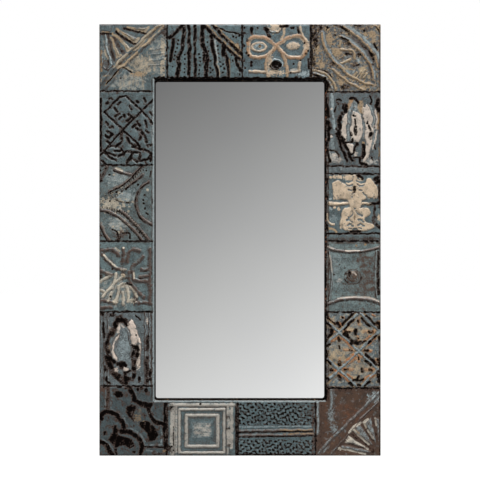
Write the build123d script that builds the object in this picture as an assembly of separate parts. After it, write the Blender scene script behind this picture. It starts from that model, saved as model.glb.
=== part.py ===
"""Wall mirror: a wooden frame clad with folded pressed-tin tiles, a set-back glass and a hardboard back.

Sizes are in millimetres. X runs across the mirror, Z up its height, and the front faces -Y. The origin is
the centre of the wall plane, where the backs of the four rubber bumpers rest.
"""

from build123d import *
import math
import os

os.makedirs("parts", exist_ok=True)

# ---------------------------------------------------------------- driving dimensions
FRAME_WIDTH = 596.0  # over the folded tin
FRAME_HEIGHT = 914.0
FACE_WIDTH = 117.0  # tin face, from the outer fold to the fold into the opening
BOARD_THICKNESS = 24.0

TIN = 0.5  # sheet thickness of the tiles
FOLD_RADIUS = 1.4  # outside radius of every fold
ARRIS = 0.6  # chamfer on the boards' edges under the folds, which the tin's inside follows
SEAM = 0.8  # gap between neighbouring tiles
OUTER_FLANGE_STOP = 1.0  # the outer flange ends this far before the frame's back
INNER_FLANGE_STOP = 0.3  # the inner flange ends this far before the glass

LIP_THICKNESS = 14.0  # wood in front of the glass
RABBET_WIDTH = 12.0  # wood that the glass sits behind, on each side
GLASS_THICKNESS = 4.0
CARD_THICKNESS = 2.5
BACK_THICKNESS = 3.2
PANEL_CLEARANCE = 1.0  # between the rabbet and the glass, card and back, except at the bottom
GLASS_ARRIS = 0.6

TENON_LENGTH = 60.0
TENON_THICKNESS = 8.0
TENON_HEIGHT = 50.0
TENON_INSET = 67.0  # from the frame's top and bottom edge to the tenon's middle
TENON_END_GAP = 0.5

# Tiles. The corner tiles reach past the corner of the opening by a lap across and a lap down.
LAPS_TOP_LEFT = (26.7, 25.1)
LAPS_TOP_RIGHT = (29.6, 26.8)
LAPS_BOTTOM_LEFT = (26.3, 30.6)
LAPS_BOTTOM_RIGHT = (21.6, 26.6)
TOP_TILE_WIDTH = 159.0  # the other tile of the row fills what is left
BOTTOM_TILE_WIDTH = 148.8
LEFT_TILE_HEIGHTS = (156.7, 161.0, 149.3)  # from the top; the lowest fills what is left
RIGHT_TILE_HEIGHTS = (173.4, 142.2, 150.5)

# Pressed relief: widths at the foot and heights above the tin's face.
THREAD_WIDTH = 3.0
RIDGE_WIDTH = 4.2
RIB_WIDTH = 5.0
ROLL_WIDTH = 6.0
BAR_WIDTH = 7.0
FLUTE_WIDTH = 8.0
BOARD_WIDTH = 12.0
CREST_SHARE = 0.45  # width of a ridge's crest as a share of its foot
LOW = 0.9
MIDDLE = 1.5
HIGH = 2.4
PAD_DRAFT = 25.0  # degrees
CHORD_TURN = 16.0  # degrees that a curved ridge turns at each mitre
ROUND_SIDES = 10  # sides of a stud or an oval field

NAIL_SHANK = 1.8  # square
NAIL_HEAD = 4.5
NAIL_HEAD_THICKNESS = 0.5
NAIL_LENGTH = 14.0
NAIL_DEPTH_IN_FRAME = 12.0  # from the front of the boards to the row of nails

BUMPER_SIDE = 16.0
BUMPER_HEIGHT = 6.0
BUMPER_INSET = 22.0  # from the frame's sides to the bumper's centre

SCREW_RADIUS = 1.9
SCREW_LENGTH = 14.0
SCREW_HEAD_RADIUS = 3.8
SCREW_HEAD_HEIGHT = 2.0
SCREW_SIDES = 8  # flats that stand for the round of a screw and of its bore

TURN_BUTTON_REACH = 26.0  # from the screw to the tip
TURN_BUTTON_TAIL = 6.0
TURN_BUTTON_WIDTH = 12.0
TURN_BUTTON_CORNER = 3.5
TURN_BUTTON_THICKNESS = 1.5
TURN_BUTTON_INSET = 12.0  # from the rabbet to the screw
TURN_BUTTON_SPREAD = 200.0  # from the middle of the mirror to the side buttons
RUNNING_CLEARANCE = 0.08
HEAD_CLEARANCE = 0.1

HANGER_HEIGHT = 250.0  # above the middle of the mirror
HANGER_INSET = 52.0  # from the frame's side to the ring's hinge line
STRAP_LENGTH = 32.0
STRAP_WIDTH = 15.0
STRAP_THICKNESS = 1.2
STRAP_CORNER = 4.0
STRAP_SCREW_INSETS = (11.0, 24.0)  # from the ring's hinge line
RING_WIRE_RADIUS = 1.3
RING_HALF_WIDTH = 11.5
RING_LEG = 9.0
RING_BOW_CHORDS = 5

# ---------------------------------------------------------------- worked out from them
BACK_Y = -BUMPER_HEIGHT
BOARD_FRONT_Y = BACK_Y - BOARD_THICKNESS
FACE_Y = BOARD_FRONT_Y - TIN
GLASS_Y = BOARD_FRONT_Y + LIP_THICKNESS
CARD_Y = GLASS_Y + GLASS_THICKNESS
PANEL_Y = CARD_Y + CARD_THICKNESS
HALF_WIDTH = FRAME_WIDTH / 2
HALF_HEIGHT = FRAME_HEIGHT / 2
OPEN_X = HALF_WIDTH - FACE_WIDTH
OPEN_Z = HALF_HEIGHT - FACE_WIDTH
RABBET_X = OPEN_X + TIN + RABBET_WIDTH
RABBET_Z = OPEN_Z + TIN + RABBET_WIDTH
REACH = 1.0  # how far a cutting block runs past what it cuts
NEAR = 0.01


def block(x_range, y_range, z_range):
    """A box from its ranges along the three axes."""
    low = (x_range[0], y_range[0], z_range[0])
    size = (x_range[1] - x_range[0], y_range[1] - y_range[0], z_range[1] - z_range[0])
    return Pos(*low) * Box(*size, align=(Align.MIN, Align.MIN, Align.MIN))


def centred(half_x, y_range, half_z):
    """A box round the Y axis."""
    return block((-half_x, half_x), y_range, (-half_z, half_z))


def rod(centre, direction, radius, length):
    """A cylinder that starts at a point and runs along a direction."""
    return Plane(origin=centre, z_dir=direction) * Cylinder(
        radius, length, align=(Align.CENTER, Align.CENTER, Align.MIN)
    )


def folded_edges(solid, front_y, inset):
    """The edges of a solid that lie on the frame's outer and inner folds, and its upright outer corners.

    inset is how far the solid lies inside the tin's outer surface.
    """
    outer_x = HALF_WIDTH - inset
    outer_z = HALF_HEIGHT - inset
    inner_x = OPEN_X + inset
    inner_z = OPEN_Z + inset
    found = ShapeList()
    for edge in solid.edges():
        middle = edge.center()
        x, z = abs(middle.X), abs(middle.Z)
        on_outer_x = abs(x - outer_x) < NEAR
        on_outer_z = abs(z - outer_z) < NEAR
        on_inner = (abs(x - inner_x) < NEAR and z < inner_z) or (abs(z - inner_z) < NEAR and x < inner_x)
        in_front = abs(middle.Y - front_y) < NEAR
        if in_front and (on_outer_x or on_outer_z or on_inner):
            found.append(edge)
        elif on_outer_x and on_outer_z:
            found.append(edge)
    return found


# ---------------------------------------------------------------- pressed relief
class Relief:
    """The ridges and pads of one tile. Points are shares of the tile's width and height."""

    def __init__(self, width, height):
        self.width = width
        self.height = height
        self.solids = []

    def at(self, point):
        return Vector(point[0] * self.width, point[1] * self.height, 0)

    def section(self, foot, side, width, height):
        """A ridge's cross-section, standing on the tin at foot, with side pointing across the ridge."""
        rise = Vector(0, 0, 1)
        half = width / 2
        crest = half * CREST_SHARE
        corners = [
            foot - side * half - rise * (TIN / 2),
            foot + side * half - rise * (TIN / 2),
            foot + side * crest + rise * height,
            foot - side * crest + rise * height,
        ]
        return make_face(Polyline(*corners, close=True))

    def ridge(self, points, width, height):
        """A ridge along straight chords that meet in mitres."""
        along = (points[1] - points[0]).normalized()
        side = Vector(-along.Y, along.X, 0)
        face = self.section(points[0], side, width, height)
        self.solids.append(sweep(face, path=Polyline(*points), transition=Transition.RIGHT))

    def line(self, *points, width=RIDGE_WIDTH, height=MIDDLE):
        self.ridge([self.at(point) for point in points], width, height)

    def arc(self, start, through, end, width=RIDGE_WIDTH, height=MIDDLE):
        """A ridge that follows the circular arc through three points."""
        curve = ThreePointArc(self.at(start), self.at(through), self.at(end))
        chords = max(1, round(math.degrees(curve.length / curve.radius) / CHORD_TURN))
        self.ridge([curve @ (step / chords) for step in range(chords + 1)], width, height)

    def arcs(self, *triples, width=RIDGE_WIDTH, height=MIDDLE):
        for start, through, end in triples:
            self.arc(start, through, end, width=width, height=height)

    def lines(self, *pairs, width=RIDGE_WIDTH, height=MIDDLE):
        for start, end in pairs:
            self.line(start, end, width=width, height=height)

    def pad(self, *points, height=LOW):
        """A raised flat field with drafted sides."""
        corners = [self.at(point) for point in points]
        face = make_face(Polyline(*corners, close=True))
        if face.face().normal_at().Z < 0:
            face = make_face(Polyline(*reversed(corners), close=True))
        self.solids.append(extrude(face, amount=height, taper=PAD_DRAFT))

    def boss(self, centre, radius, height=MIDDLE):
        """A stud with sloping sides; radius is a share of the tile's width."""
        foot = radius * self.width
        run = foot * math.cos(math.pi / ROUND_SIDES) * (1 - CREST_SHARE)
        base = Pos(self.at(centre)) * RegularPolygon(foot, ROUND_SIDES)
        self.solids.append(extrude(base, amount=height, taper=math.degrees(math.atan2(run, height))))

    def oval(self, centre, radii, height=LOW):
        """A raised oval field; radii are shares of the tile's width and height."""
        turns = [2 * math.pi * step / ROUND_SIDES for step in range(ROUND_SIDES)]
        rim = [(centre[0] + radii[0] * math.cos(t), centre[1] + radii[1] * math.sin(t)) for t in turns]
        self.pad(*rim, height=height)


def fan_in_corner(relief):
    """Tapering rays from a corner block, closed by a diagonal double band."""
    relief.pad((0.0, 0.87), (0.17, 0.87), (0.17, 1.0), (0.0, 1.0))
    relief.pad((0.17, 0.79), (0.25, 0.47), (0.32, 0.53), height=MIDDLE)
    relief.pad((0.21, 0.84), (0.42, 0.60), (0.50, 0.64), height=MIDDLE)
    relief.pad((0.27, 0.91), (0.52, 0.72), (0.59, 0.78), height=MIDDLE)
    relief.pad((0.42, 0.96), (0.66, 0.88), (0.72, 0.94), height=MIDDLE)
    relief.arc((0.08, 0.84), (0.14, 0.62), (0.17, 0.40))
    relief.arc((0.17, 0.40), (0.11, 0.33), (0.04, 0.40))
    relief.line((0.0, 0.08), (0.92, 1.02), width=BAR_WIDTH)
    relief.line((0.08, 0.02), (1.0, 0.98), width=BAR_WIDTH)
    relief.arc((0.30, 0.33), (0.38, 0.35), (0.48, 0.28), width=THREAD_WIDTH)


def reeds_and_rays(relief):
    """Upright reeds on the left and spreading rays on the right."""
    relief.lines(((0.29, 0.0), (0.29, 1.0)), ((0.37, 0.0), (0.37, 1.0)))
    relief.line((0.57, 0.76), (0.69, 0.0))
    relief.lines(((0.46, 1.02), (1.0, 0.37)), ((0.56, 1.02), (1.0, 0.45)))
    relief.line((0.65, 0.93), (1.0, 0.79))
    relief.arcs(
        ((0.20, 1.0), (0.21, 0.70), (0.15, 0.38)),
        ((0.15, 0.38), (0.15, 0.18), (0.11, 0.0)),
        ((0.18, 0.95), (0.07, 0.70), (0.04, 0.35)),
        ((0.46, 0.98), (0.47, 0.60), (0.53, 0.38)),
        ((0.53, 0.38), (0.525, 0.20), (0.51, 0.0)),
        ((0.74, 0.56), (0.82, 0.30), (0.85, 0.0)),
        ((0.90, 0.46), (0.95, 0.25), (0.98, 0.12)),
    )


def four_petals(relief):
    """A four-petalled flower whose petals meet in the middle, each with an oval seed."""
    relief.arcs(
        ((0.48, 0.62), (0.27, 0.76), (0.11, 0.71)),
        ((0.11, 0.71), (0.085, 0.57), (0.11, 0.42)),
        ((0.11, 0.42), (0.27, 0.38), (0.48, 0.58)),
        ((0.50, 0.62), (0.70, 0.77), (0.86, 0.76)),
        ((0.86, 0.76), (0.95, 0.60), (0.88, 0.43)),
        ((0.88, 0.43), (0.70, 0.40), (0.50, 0.58)),
        ((0.47, 0.57), (0.345, 0.34), (0.37, 0.06)),
        ((0.51, 0.57), (0.61, 0.36), (0.65, 0.10)),
        ((0.38, 0.98), (0.47, 0.85), (0.56, 0.98)),
        width=ROLL_WIDTH,
    )
    relief.oval((0.25, 0.58), (0.11, 0.09), height=MIDDLE)
    relief.oval((0.73, 0.61), (0.11, 0.075), height=MIDDLE)
    relief.boss((0.49, 0.26), 0.075, height=HIGH)
    relief.lines(((0.10, 0.12), (0.34, 0.12)), ((0.68, 0.12), (0.88, 0.12)))


def great_leaf(relief):
    """A pointed leaf between bold arcs, with a fan at its foot and rings round the notch."""
    relief.arcs(
        ((0.33, 1.0), (0.70, 0.80), (0.96, 0.38)),
        ((0.42, 0.82), (0.70, 0.60), (0.89, 0.13)),
        ((0.135, 0.86), (0.31, 0.48), (0.86, 0.10)),
        ((0.28, 0.35), (0.48, 0.18), (0.76, 0.05)),
        width=RIB_WIDTH,
    )
    relief.arc((0.0, 0.31), (0.26, 0.235), (0.37, 0.0))
    relief.arc((0.90, 1.0), (0.95, 0.95), (1.0, 0.86))
    relief.line((0.43, 0.75), (0.43, 0.62), width=THREAD_WIDTH)
    relief.arc((0.43, 0.62), (0.56, 0.63), (0.66, 0.48))
    for start in (0.56, 0.63, 0.70, 0.77):
        relief.line((start, 0.21), (start + 0.10, 0.37), height=LOW)


def diamond_lattice(relief):
    """Crossed ribs with a small flower in the diamond and an interlace below."""
    relief.lines(
        ((0.10, 0.71), (0.37, 0.94)),
        ((0.48, 0.94), (1.0, 0.55)),
        ((0.10, 0.72), (0.43, 0.49)),
        ((0.08, 0.20), (1.0, 0.89)),
        ((0.43, 0.49), (0.74, 0.25)),
    )
    flower = (0.44, 0.73)
    for step_u, step_v in ((0.10, 0.055), (-0.10, 0.055), (0.10, -0.055), (-0.10, -0.055)):
        root = (flower[0] + step_u / 3, flower[1] + step_v / 3)
        tip = (flower[0] + step_u, flower[1] + step_v)
        relief.line(root, tip, height=LOW)
    relief.arcs(
        ((0.08, 0.20), (0.28, 0.26), (0.44, 0.18)),
        ((0.10, 0.19), (0.30, 0.12), (0.44, 0.0)),
        ((0.50, 0.14), (0.62, 0.24), (0.88, 0.20)),
        ((0.72, 0.17), (0.82, 0.05), (0.94, 0.16)),
        width=THREAD_WIDTH,
    )
    relief.lines(((0.45, 0.18), (0.62, 0.03)), ((0.50, 0.04), (0.62, 0.16)), width=THREAD_WIDTH)


def beaded_chevron(relief):
    """Two double bands that meet at the left edge, and a scallop on the right."""
    relief.arcs(
        ((0.18, 0.65), (0.48, 0.76), (0.80, 1.0)),
        ((0.42, 0.68), (0.66, 0.80), (0.95, 1.0)),
        ((0.05, 0.42), (0.46, 0.30), (0.80, 0.0)),
        ((0.34, 0.43), (0.62, 0.28), (0.94, 0.0)),
        ((0.88, 0.78), (0.67, 0.51), (0.97, 0.23)),
        ((0.15, 1.0), (0.08, 0.86), (0.0, 0.74)),
        ((0.0, 0.26), (0.09, 0.11), (0.20, 0.0)),
        width=THREAD_WIDTH,
    )
    relief.line((0.27, 0.94), (0.57, 0.885), width=THREAD_WIDTH)
    for bead in ((0.82, 0.61), (0.80, 0.52), (0.83, 0.43)):
        relief.boss(bead, 0.025, height=LOW)


def butterfly_square(relief):
    """Four veined petals round a stud, inside a square border."""
    relief.arcs(
        ((0.0, 0.83), (0.20, 0.92), (0.37, 0.80)),
        ((0.50, 0.72), (0.54, 0.84), (0.66, 0.89)),
        ((0.57, 0.62), (0.52, 0.50), (0.57, 0.40)),
        ((0.62, 0.55), (0.66, 0.46), (0.86, 0.45)),
        ((0.54, 0.36), (0.66, 0.28), (0.65, 0.17)),
    )
    relief.lines(
        ((0.03, 0.84), (0.32, 0.63)),
        ((0.66, 0.89), (0.82, 0.86)),
        ((0.78, 0.79), (0.59, 0.63)),
        ((0.57, 0.40), (0.82, 0.19)),
        ((0.44, 0.92), (0.44, 0.68)),
        ((0.66, 0.57), (0.90, 0.57)),
        ((0.70, 0.50), (0.92, 0.50)),
        ((0.92, 0.90), (0.92, 0.12)),
        ((0.66, 0.125), (0.92, 0.125)),
        ((0.0, 0.14), (0.30, 0.14)),
    )
    relief.lines(((0.31, 0.52), (0.08, 0.22)), ((0.36, 0.40), (0.31, 0.15)), width=ROLL_WIDTH)
    relief.lines(((0.49, 0.36), (0.55, 0.16)), ((0.43, 0.28), (0.44, 0.12)), width=ROLL_WIDTH)
    relief.boss((0.44, 0.51), 0.07, height=HIGH)


def tall_medallion(relief):
    """A broken oval ring round a pointed leaf, between upright reeds."""
    relief.arcs(
        ((0.36, 0.90), (0.14, 0.55), (0.24, 0.20)),
        ((0.24, 0.20), (0.36, 0.08), (0.55, 0.09)),
        ((0.52, 0.90), (0.74, 0.60), (0.68, 0.28)),
        width=BAR_WIDTH,
        height=HIGH,
    )
    relief.arcs(
        ((0.40, 0.84), (0.25, 0.55), (0.31, 0.33)),
        ((0.31, 0.33), (0.42, 0.28), (0.55, 0.36)),
        ((0.55, 0.36), (0.60, 0.58), (0.48, 0.80)),
        width=RIB_WIDTH,
    )
    relief.lines(((0.125, 0.0), (0.125, 1.0)), ((0.88, 0.0), (0.88, 1.0)))
    relief.boss((0.48, 0.22), 0.07, height=HIGH)


def quatrefoil_scallops(relief):
    """Large interlocking scallops and a border in the lower right corner."""
    relief.arcs(
        ((0.46, 1.0), (0.55, 0.80), (0.74, 0.735)),
        ((0.735, 0.735), (0.80, 0.54), (1.0, 0.45)),
        ((0.0, 0.56), (0.16, 0.635), (0.37, 0.40)),
        ((0.33, 0.355), (0.57, 0.29), (0.62, 0.02)),
        ((0.0, 0.21), (0.12, 0.14), (0.20, 0.0)),
        width=BAR_WIDTH,
    )
    relief.line((0.13, 0.68), (0.13, 1.0), width=BAR_WIDTH)
    relief.line((0.66, 0.13), (1.0, 0.13))
    relief.line((0.95, 0.13), (0.95, 0.75))


def nested_squares(relief):
    """Square mouldings one inside the other, round a raised middle field."""
    sides = ((0.27, 0.17, 0.725, 0.73), (0.18, 0.06, 0.815, 0.835))
    for left, low, right, high in sides:
        relief.line((left, low), (right, low), width=ROLL_WIDTH)
        relief.line((left, high), (right, high), width=ROLL_WIDTH)
        relief.line((left, low), (left, high), width=ROLL_WIDTH)
        relief.line((right, low), (right, high), width=ROLL_WIDTH)
    relief.pad((0.33, 0.31), (0.67, 0.31), (0.67, 0.64), (0.33, 0.64))
    relief.lines(((0.09, 0.0), (0.09, 0.94)), ((0.905, 0.0), (0.905, 0.94)), width=BOARD_WIDTH, height=LOW)
    relief.line((0.09, 0.93), (0.905, 0.93), width=BAR_WIDTH, height=LOW)


def double_rail(relief):
    """Two level rails across a stippled field."""
    relief.lines(((0.02, 0.455), (0.97, 0.475)), ((0.02, 0.37), (0.97, 0.39)), width=RIB_WIDTH)


def rays_and_band(relief):
    """A diagonal band with a fan of rays in the corner beyond it."""
    relief.line((0.02, 0.0), (1.0, 0.96), width=ROLL_WIDTH)
    relief.line((0.20, 0.0), (1.0, 0.80), width=ROLL_WIDTH)
    relief.lines(((0.03, 0.0), (0.03, 1.0)), ((0.22, 0.30), (0.22, 1.0)), width=ROLL_WIDTH, height=LOW)
    hub = (0.95, 0.03)
    tips = ((0.34, 0.12), (0.52, 0.28), (0.65, 0.47), (0.86, 0.60))
    for tip in tips:
        relief.line(tip, hub, width=BAR_WIDTH)


def zebra_medallion(relief):
    """A tall oval of upright flutes with a pointed foot."""
    relief.arcs(
        ((0.46, 0.90), (0.24, 0.58), (0.36, 0.24)),
        ((0.60, 0.90), (0.88, 0.62), (0.72, 0.20)),
        width=BAR_WIDTH,
        height=HIGH,
    )
    relief.lines(((0.20, 0.50), (0.40, 0.15)), ((0.30, 0.38), (0.48, 0.16)))
    relief.line((0.68, 0.34), (0.64, 0.14), width=ROLL_WIDTH)
    for share in (0.40, 0.52, 0.64):
        relief.line((share, 0.42), (share, 0.80), width=FLUTE_WIDTH)
    relief.line((0.0, 0.10), (1.0, 0.10))


def cross_of_lobes(relief):
    """Four rounded lobes round an upright stem, with level bars between them."""
    relief.oval((0.25, 0.77), (0.13, 0.13), height=MIDDLE)
    relief.oval((0.81, 0.77), (0.13, 0.15), height=MIDDLE)
    relief.oval((0.34, 0.38), (0.11, 0.14), height=MIDDLE)
    relief.oval((0.72, 0.42), (0.11, 0.12), height=MIDDLE)
    relief.line((0.52, 0.16), (0.52, 0.96), width=BAR_WIDTH, height=HIGH)
    relief.lines(((0.07, 0.555), (0.38, 0.555)), ((0.66, 0.555), (0.86, 0.555)), width=BAR_WIDTH)
    for rise in (0.86, 0.79):
        relief.arc((0.36, rise), (0.44, rise - 0.035), (0.52, rise), width=THREAD_WIDTH)
        relief.arc((0.52, rise), (0.60, rise - 0.035), (0.68, rise), width=THREAD_WIDTH)
    for rise in (0.30, 0.23):
        relief.arc((0.38, rise), (0.45, rise + 0.035), (0.52, rise), width=THREAD_WIDTH)
        relief.arc((0.52, rise), (0.60, rise + 0.035), (0.67, rise), width=THREAD_WIDTH)
    relief.line((0.0, 0.11), (1.0, 0.11))


def stud_in_pillow(relief):
    """A round stud in a square with four concave sides."""
    relief.arcs(
        ((0.0, 0.93), (0.47, 0.85), (1.0, 0.93)),
        ((0.0, 0.11), (0.48, 0.20), (1.0, 0.12)),
        ((0.06, 0.86), (0.11, 0.52), (0.06, 0.18)),
        ((0.95, 0.86), (0.90, 0.52), (0.95, 0.18)),
        width=RIB_WIDTH,
    )
    relief.boss((0.50, 0.505), 0.12, height=HIGH)


def woven_diamonds(relief):
    """A lattice of flat bars with a flower in each diamond."""
    relief.lines(
        ((0.0, 0.89), (1.0, 0.21)),
        ((0.0, 0.40), (0.62, 0.0)),
        ((0.58, 1.0), (1.0, 0.71)),
        ((0.0, 0.08), (1.0, 0.76)),
        ((0.0, 0.57), (0.62, 1.0)),
        ((0.58, 0.0), (1.0, 0.28)),
        width=BAR_WIDTH,
    )
    for middle in ((0.58, 0.74), (0.24, 0.49), (0.60, 0.245)):
        for step in (-1, 1):
            start = (middle[0] + step * 0.09, middle[1])
            relief.line(start, (middle[0] + step * 0.22, middle[1]), width=ROLL_WIDTH, height=LOW)
            start = (middle[0], middle[1] + step * 0.06)
            relief.line(start, (middle[0], middle[1] + step * 0.155), width=ROLL_WIDTH, height=LOW)


# ---------------------------------------------------------------- tiles
def tile_layout():
    """Each tile's name, its ranges along X and Z from seam to seam, and the pattern pressed into it."""
    left = -HALF_WIDTH
    right = HALF_WIDTH
    top = HALF_HEIGHT
    bottom = -HALF_HEIGHT
    top_left_x = -OPEN_X + LAPS_TOP_LEFT[0]
    top_left_z = OPEN_Z - LAPS_TOP_LEFT[1]
    top_right_x = OPEN_X - LAPS_TOP_RIGHT[0]
    top_right_z = OPEN_Z - LAPS_TOP_RIGHT[1]
    bottom_left_x = -OPEN_X + LAPS_BOTTOM_LEFT[0]
    bottom_left_z = -OPEN_Z + LAPS_BOTTOM_LEFT[1]
    bottom_right_x = OPEN_X - LAPS_BOTTOM_RIGHT[0]
    bottom_right_z = -OPEN_Z + LAPS_BOTTOM_RIGHT[1]
    top_seam = top_left_x + TOP_TILE_WIDTH
    bottom_seam = bottom_left_x + BOTTOM_TILE_WIDTH
    tiles = [
        ("tile_top_left", (left, top_left_x), (top_left_z, top), fan_in_corner),
        ("tile_top_1", (top_left_x, top_seam), (OPEN_Z, top), reeds_and_rays),
        ("tile_top_2", (top_seam, top_right_x), (OPEN_Z, top), four_petals),
        ("tile_top_right", (top_right_x, right), (top_right_z, top), great_leaf),
        ("tile_bottom_left", (left, bottom_left_x), (bottom, bottom_left_z), quatrefoil_scallops),
        ("tile_bottom_1", (bottom_left_x, bottom_seam), (bottom, -OPEN_Z), nested_squares),
        ("tile_bottom_2", (bottom_seam, bottom_right_x), (bottom, -OPEN_Z), double_rail),
        ("tile_bottom_right", (bottom_right_x, right), (bottom, bottom_right_z), rays_and_band),
    ]
    columns = (
        ("tile_left", (left, -OPEN_X), top_left_z, bottom_left_z, LEFT_TILE_HEIGHTS,
         (diamond_lattice, beaded_chevron, butterfly_square, tall_medallion)),
        ("tile_right", (OPEN_X, right), top_right_z, bottom_right_z, RIGHT_TILE_HEIGHTS,
         (zebra_medallion, cross_of_lobes, stud_in_pillow, woven_diamonds)),
    )
    for name, x_range, upper, lowest, heights, patterns in columns:
        seams = [upper]
        for height in heights:
            seams.append(seams[-1] - height)
        seams.append(lowest)
        for index, pattern in enumerate(patterns):
            z_range = (seams[index + 1], seams[index])
            tiles.append((f"{name}_{index + 1}", x_range, z_range, pattern))
    return tiles


def moved_ends(ends, limit, at_limit, elsewhere):
    """A range with each end moved inwards: by at_limit on the frame's outside, by elsewhere at a seam."""
    low, high = ends
    low += at_limit if abs(low + limit) < NEAR else elsewhere
    high -= at_limit if abs(high - limit) < NEAR else elsewhere
    return low, high


def folded_sheet(x_range, z_range):
    """The bare tin of one tile: its face, its outer flanges and its flanges into the opening."""
    half_seam = SEAM / 2
    flange_end = BACK_Y - OUTER_FLANGE_STOP
    past_end = flange_end + REACH
    outside = block(
        moved_ends(x_range, HALF_WIDTH, 0, half_seam),
        (FACE_Y, flange_end),
        moved_ends(z_range, HALF_HEIGHT, 0, half_seam),
    )
    outside -= centred(OPEN_X, (FACE_Y - REACH, past_end), OPEN_Z)
    outside = fillet(folded_edges(outside, FACE_Y, 0), FOLD_RADIUS)
    inside = block(
        moved_ends(x_range, HALF_WIDTH, TIN, -REACH),
        (BOARD_FRONT_Y, past_end),
        moved_ends(z_range, HALF_HEIGHT, TIN, -REACH),
    )
    inside -= centred(OPEN_X + TIN, (BOARD_FRONT_Y - REACH, past_end + REACH), OPEN_Z + TIN)
    inside = chamfer(folded_edges(inside, BOARD_FRONT_Y, TIN), ARRIS)
    glass_room = centred(RABBET_X, (GLASS_Y - INNER_FLANGE_STOP, past_end), RABBET_Z)
    return outside - inside - glass_room


def pressed_face(x_range, z_range, pattern):
    """The relief of one tile, kept off its seams and folds."""
    relief = Relief(x_range[1] - x_range[0], z_range[1] - z_range[0])
    pattern(relief)
    raised = Part() + relief.solids
    raised = Plane(origin=(x_range[0], FACE_Y, z_range[0]), x_dir=(1, 0, 0), z_dir=(0, -1, 0)).location * raised
    room = block(
        moved_ends(x_range, HALF_WIDTH, FOLD_RADIUS, SEAM),
        (FACE_Y - HIGH - REACH, FACE_Y + TIN),
        moved_ends(z_range, HALF_HEIGHT, FOLD_RADIUS, SEAM),
    )
    room -= centred(OPEN_X + FOLD_RADIUS, (FACE_Y - HIGH - 2 * REACH, BACK_Y), OPEN_Z + FOLD_RADIUS)
    return raised & room


def nail_places():
    """Each nail's point on the tin's outer surface and the way it is driven."""
    y = BOARD_FRONT_Y + NAIL_DEPTH_IN_FRAME
    places = []
    for _, x_range, z_range, _ in tile_layout():
        middle_x = sum(x_range) / 2
        middle_z = sum(z_range) / 2
        if abs(x_range[0] + HALF_WIDTH) < NEAR:
            places.append(((-HALF_WIDTH, y, middle_z), (1, 0, 0)))
        if abs(x_range[1] - HALF_WIDTH) < NEAR:
            places.append(((HALF_WIDTH, y, middle_z), (-1, 0, 0)))
        if abs(z_range[1] - HALF_HEIGHT) < NEAR:
            places.append(((middle_x, y, HALF_HEIGHT), (0, 0, -1)))
        if abs(z_range[0] + HALF_HEIGHT) < NEAR:
            places.append(((middle_x, y, -HALF_HEIGHT), (0, 0, 1)))
    return places


def square_bar(start, direction, side, length):
    """A square bar that starts at a point and runs along a direction."""
    return Plane(origin=start, z_dir=direction) * Box(
        side, side, length, align=(Align.CENTER, Align.CENTER, Align.MIN)
    )


def nail(place, drive):
    """A cut nail with a square head and shank."""
    head_top = Vector(*place) - Vector(*drive) * NAIL_HEAD_THICKNESS
    head = square_bar(head_top, drive, NAIL_HEAD, NAIL_HEAD_THICKNESS)
    return head + square_bar(place, drive, NAIL_SHANK, NAIL_LENGTH)


NAILS = nail_places()
NAIL_HOLES = [square_bar(place, drive, NAIL_SHANK, NAIL_LENGTH) for place, drive in NAILS]


# ---------------------------------------------------------------- frame, glass and back
def tenons(end_gap):
    """A loose tenon across each butt joint, longer by a gap at either end when it stands for the mortise."""
    joint_x = OPEN_X + TIN
    middle_y = BOARD_FRONT_Y + BOARD_THICKNESS / 2
    middle_z = HALF_HEIGHT - TENON_INSET
    tenon = Box(TENON_LENGTH + 2 * end_gap, TENON_THICKNESS, TENON_HEIGHT)
    corners = [(side, end) for side in (-1, 1) for end in (-1, 1)]
    return [Pos(side * joint_x, middle_y, end * middle_z) * tenon for side, end in corners]


def screw_places():
    """Where the screws enter the frame's back: the turn buttons' first, then the hangers'."""
    places = [place for place, _ in turn_button_places()]
    for side in (-1, 1):
        for inset in STRAP_SCREW_INSETS:
            places.append((side * (HALF_WIDTH - HANGER_INSET + inset), HANGER_HEIGHT))
    return places


def turn_button_places():
    """The screw's X and Z, and the direction of the button's tip, clockwise from the upper left."""
    side_x = RABBET_X + TURN_BUTTON_INSET
    end_z = RABBET_Z + TURN_BUTTON_INSET
    return [
        ((-side_x, TURN_BUTTON_SPREAD), (1, 0, 0)),
        ((0.0, end_z), (0, 0, -1)),
        ((side_x, TURN_BUTTON_SPREAD), (-1, 0, 0)),
        ((side_x, -TURN_BUTTON_SPREAD), (-1, 0, 0)),
        ((0.0, -end_z), (0, 0, 1)),
        ((-side_x, -TURN_BUTTON_SPREAD), (1, 0, 0)),
    ]


def shank(x, seat_y, z, length, radius=SCREW_RADIUS):
    """A screw's shank or its bore, which runs from seat_y towards the front if length is negative."""
    section = RegularPolygon(radius, SCREW_SIDES)
    return extrude(Plane(origin=(x, seat_y, z), x_dir=(1, 0, 0), z_dir=(0, 1, 0)) * section, amount=length)


def bored_frame():
    """The glued-up frame, machined as one: eased under the folds, rabbeted, mortised and bored."""
    frame = centred(HALF_WIDTH - TIN, (BOARD_FRONT_Y, BACK_Y), HALF_HEIGHT - TIN)
    frame -= centred(OPEN_X + TIN, (BOARD_FRONT_Y - REACH, BACK_Y + REACH), OPEN_Z + TIN)
    frame = chamfer(folded_edges(frame, BOARD_FRONT_Y, TIN), ARRIS)
    frame -= centred(RABBET_X, (GLASS_Y, BACK_Y + REACH), RABBET_Z)
    for mortise in tenons(TENON_END_GAP):
        frame -= mortise
    for x, z in screw_places():
        frame -= shank(x, BACK_Y, z, -SCREW_LENGTH)
    for hole in NAIL_HOLES:
        frame -= hole
    return frame


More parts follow.
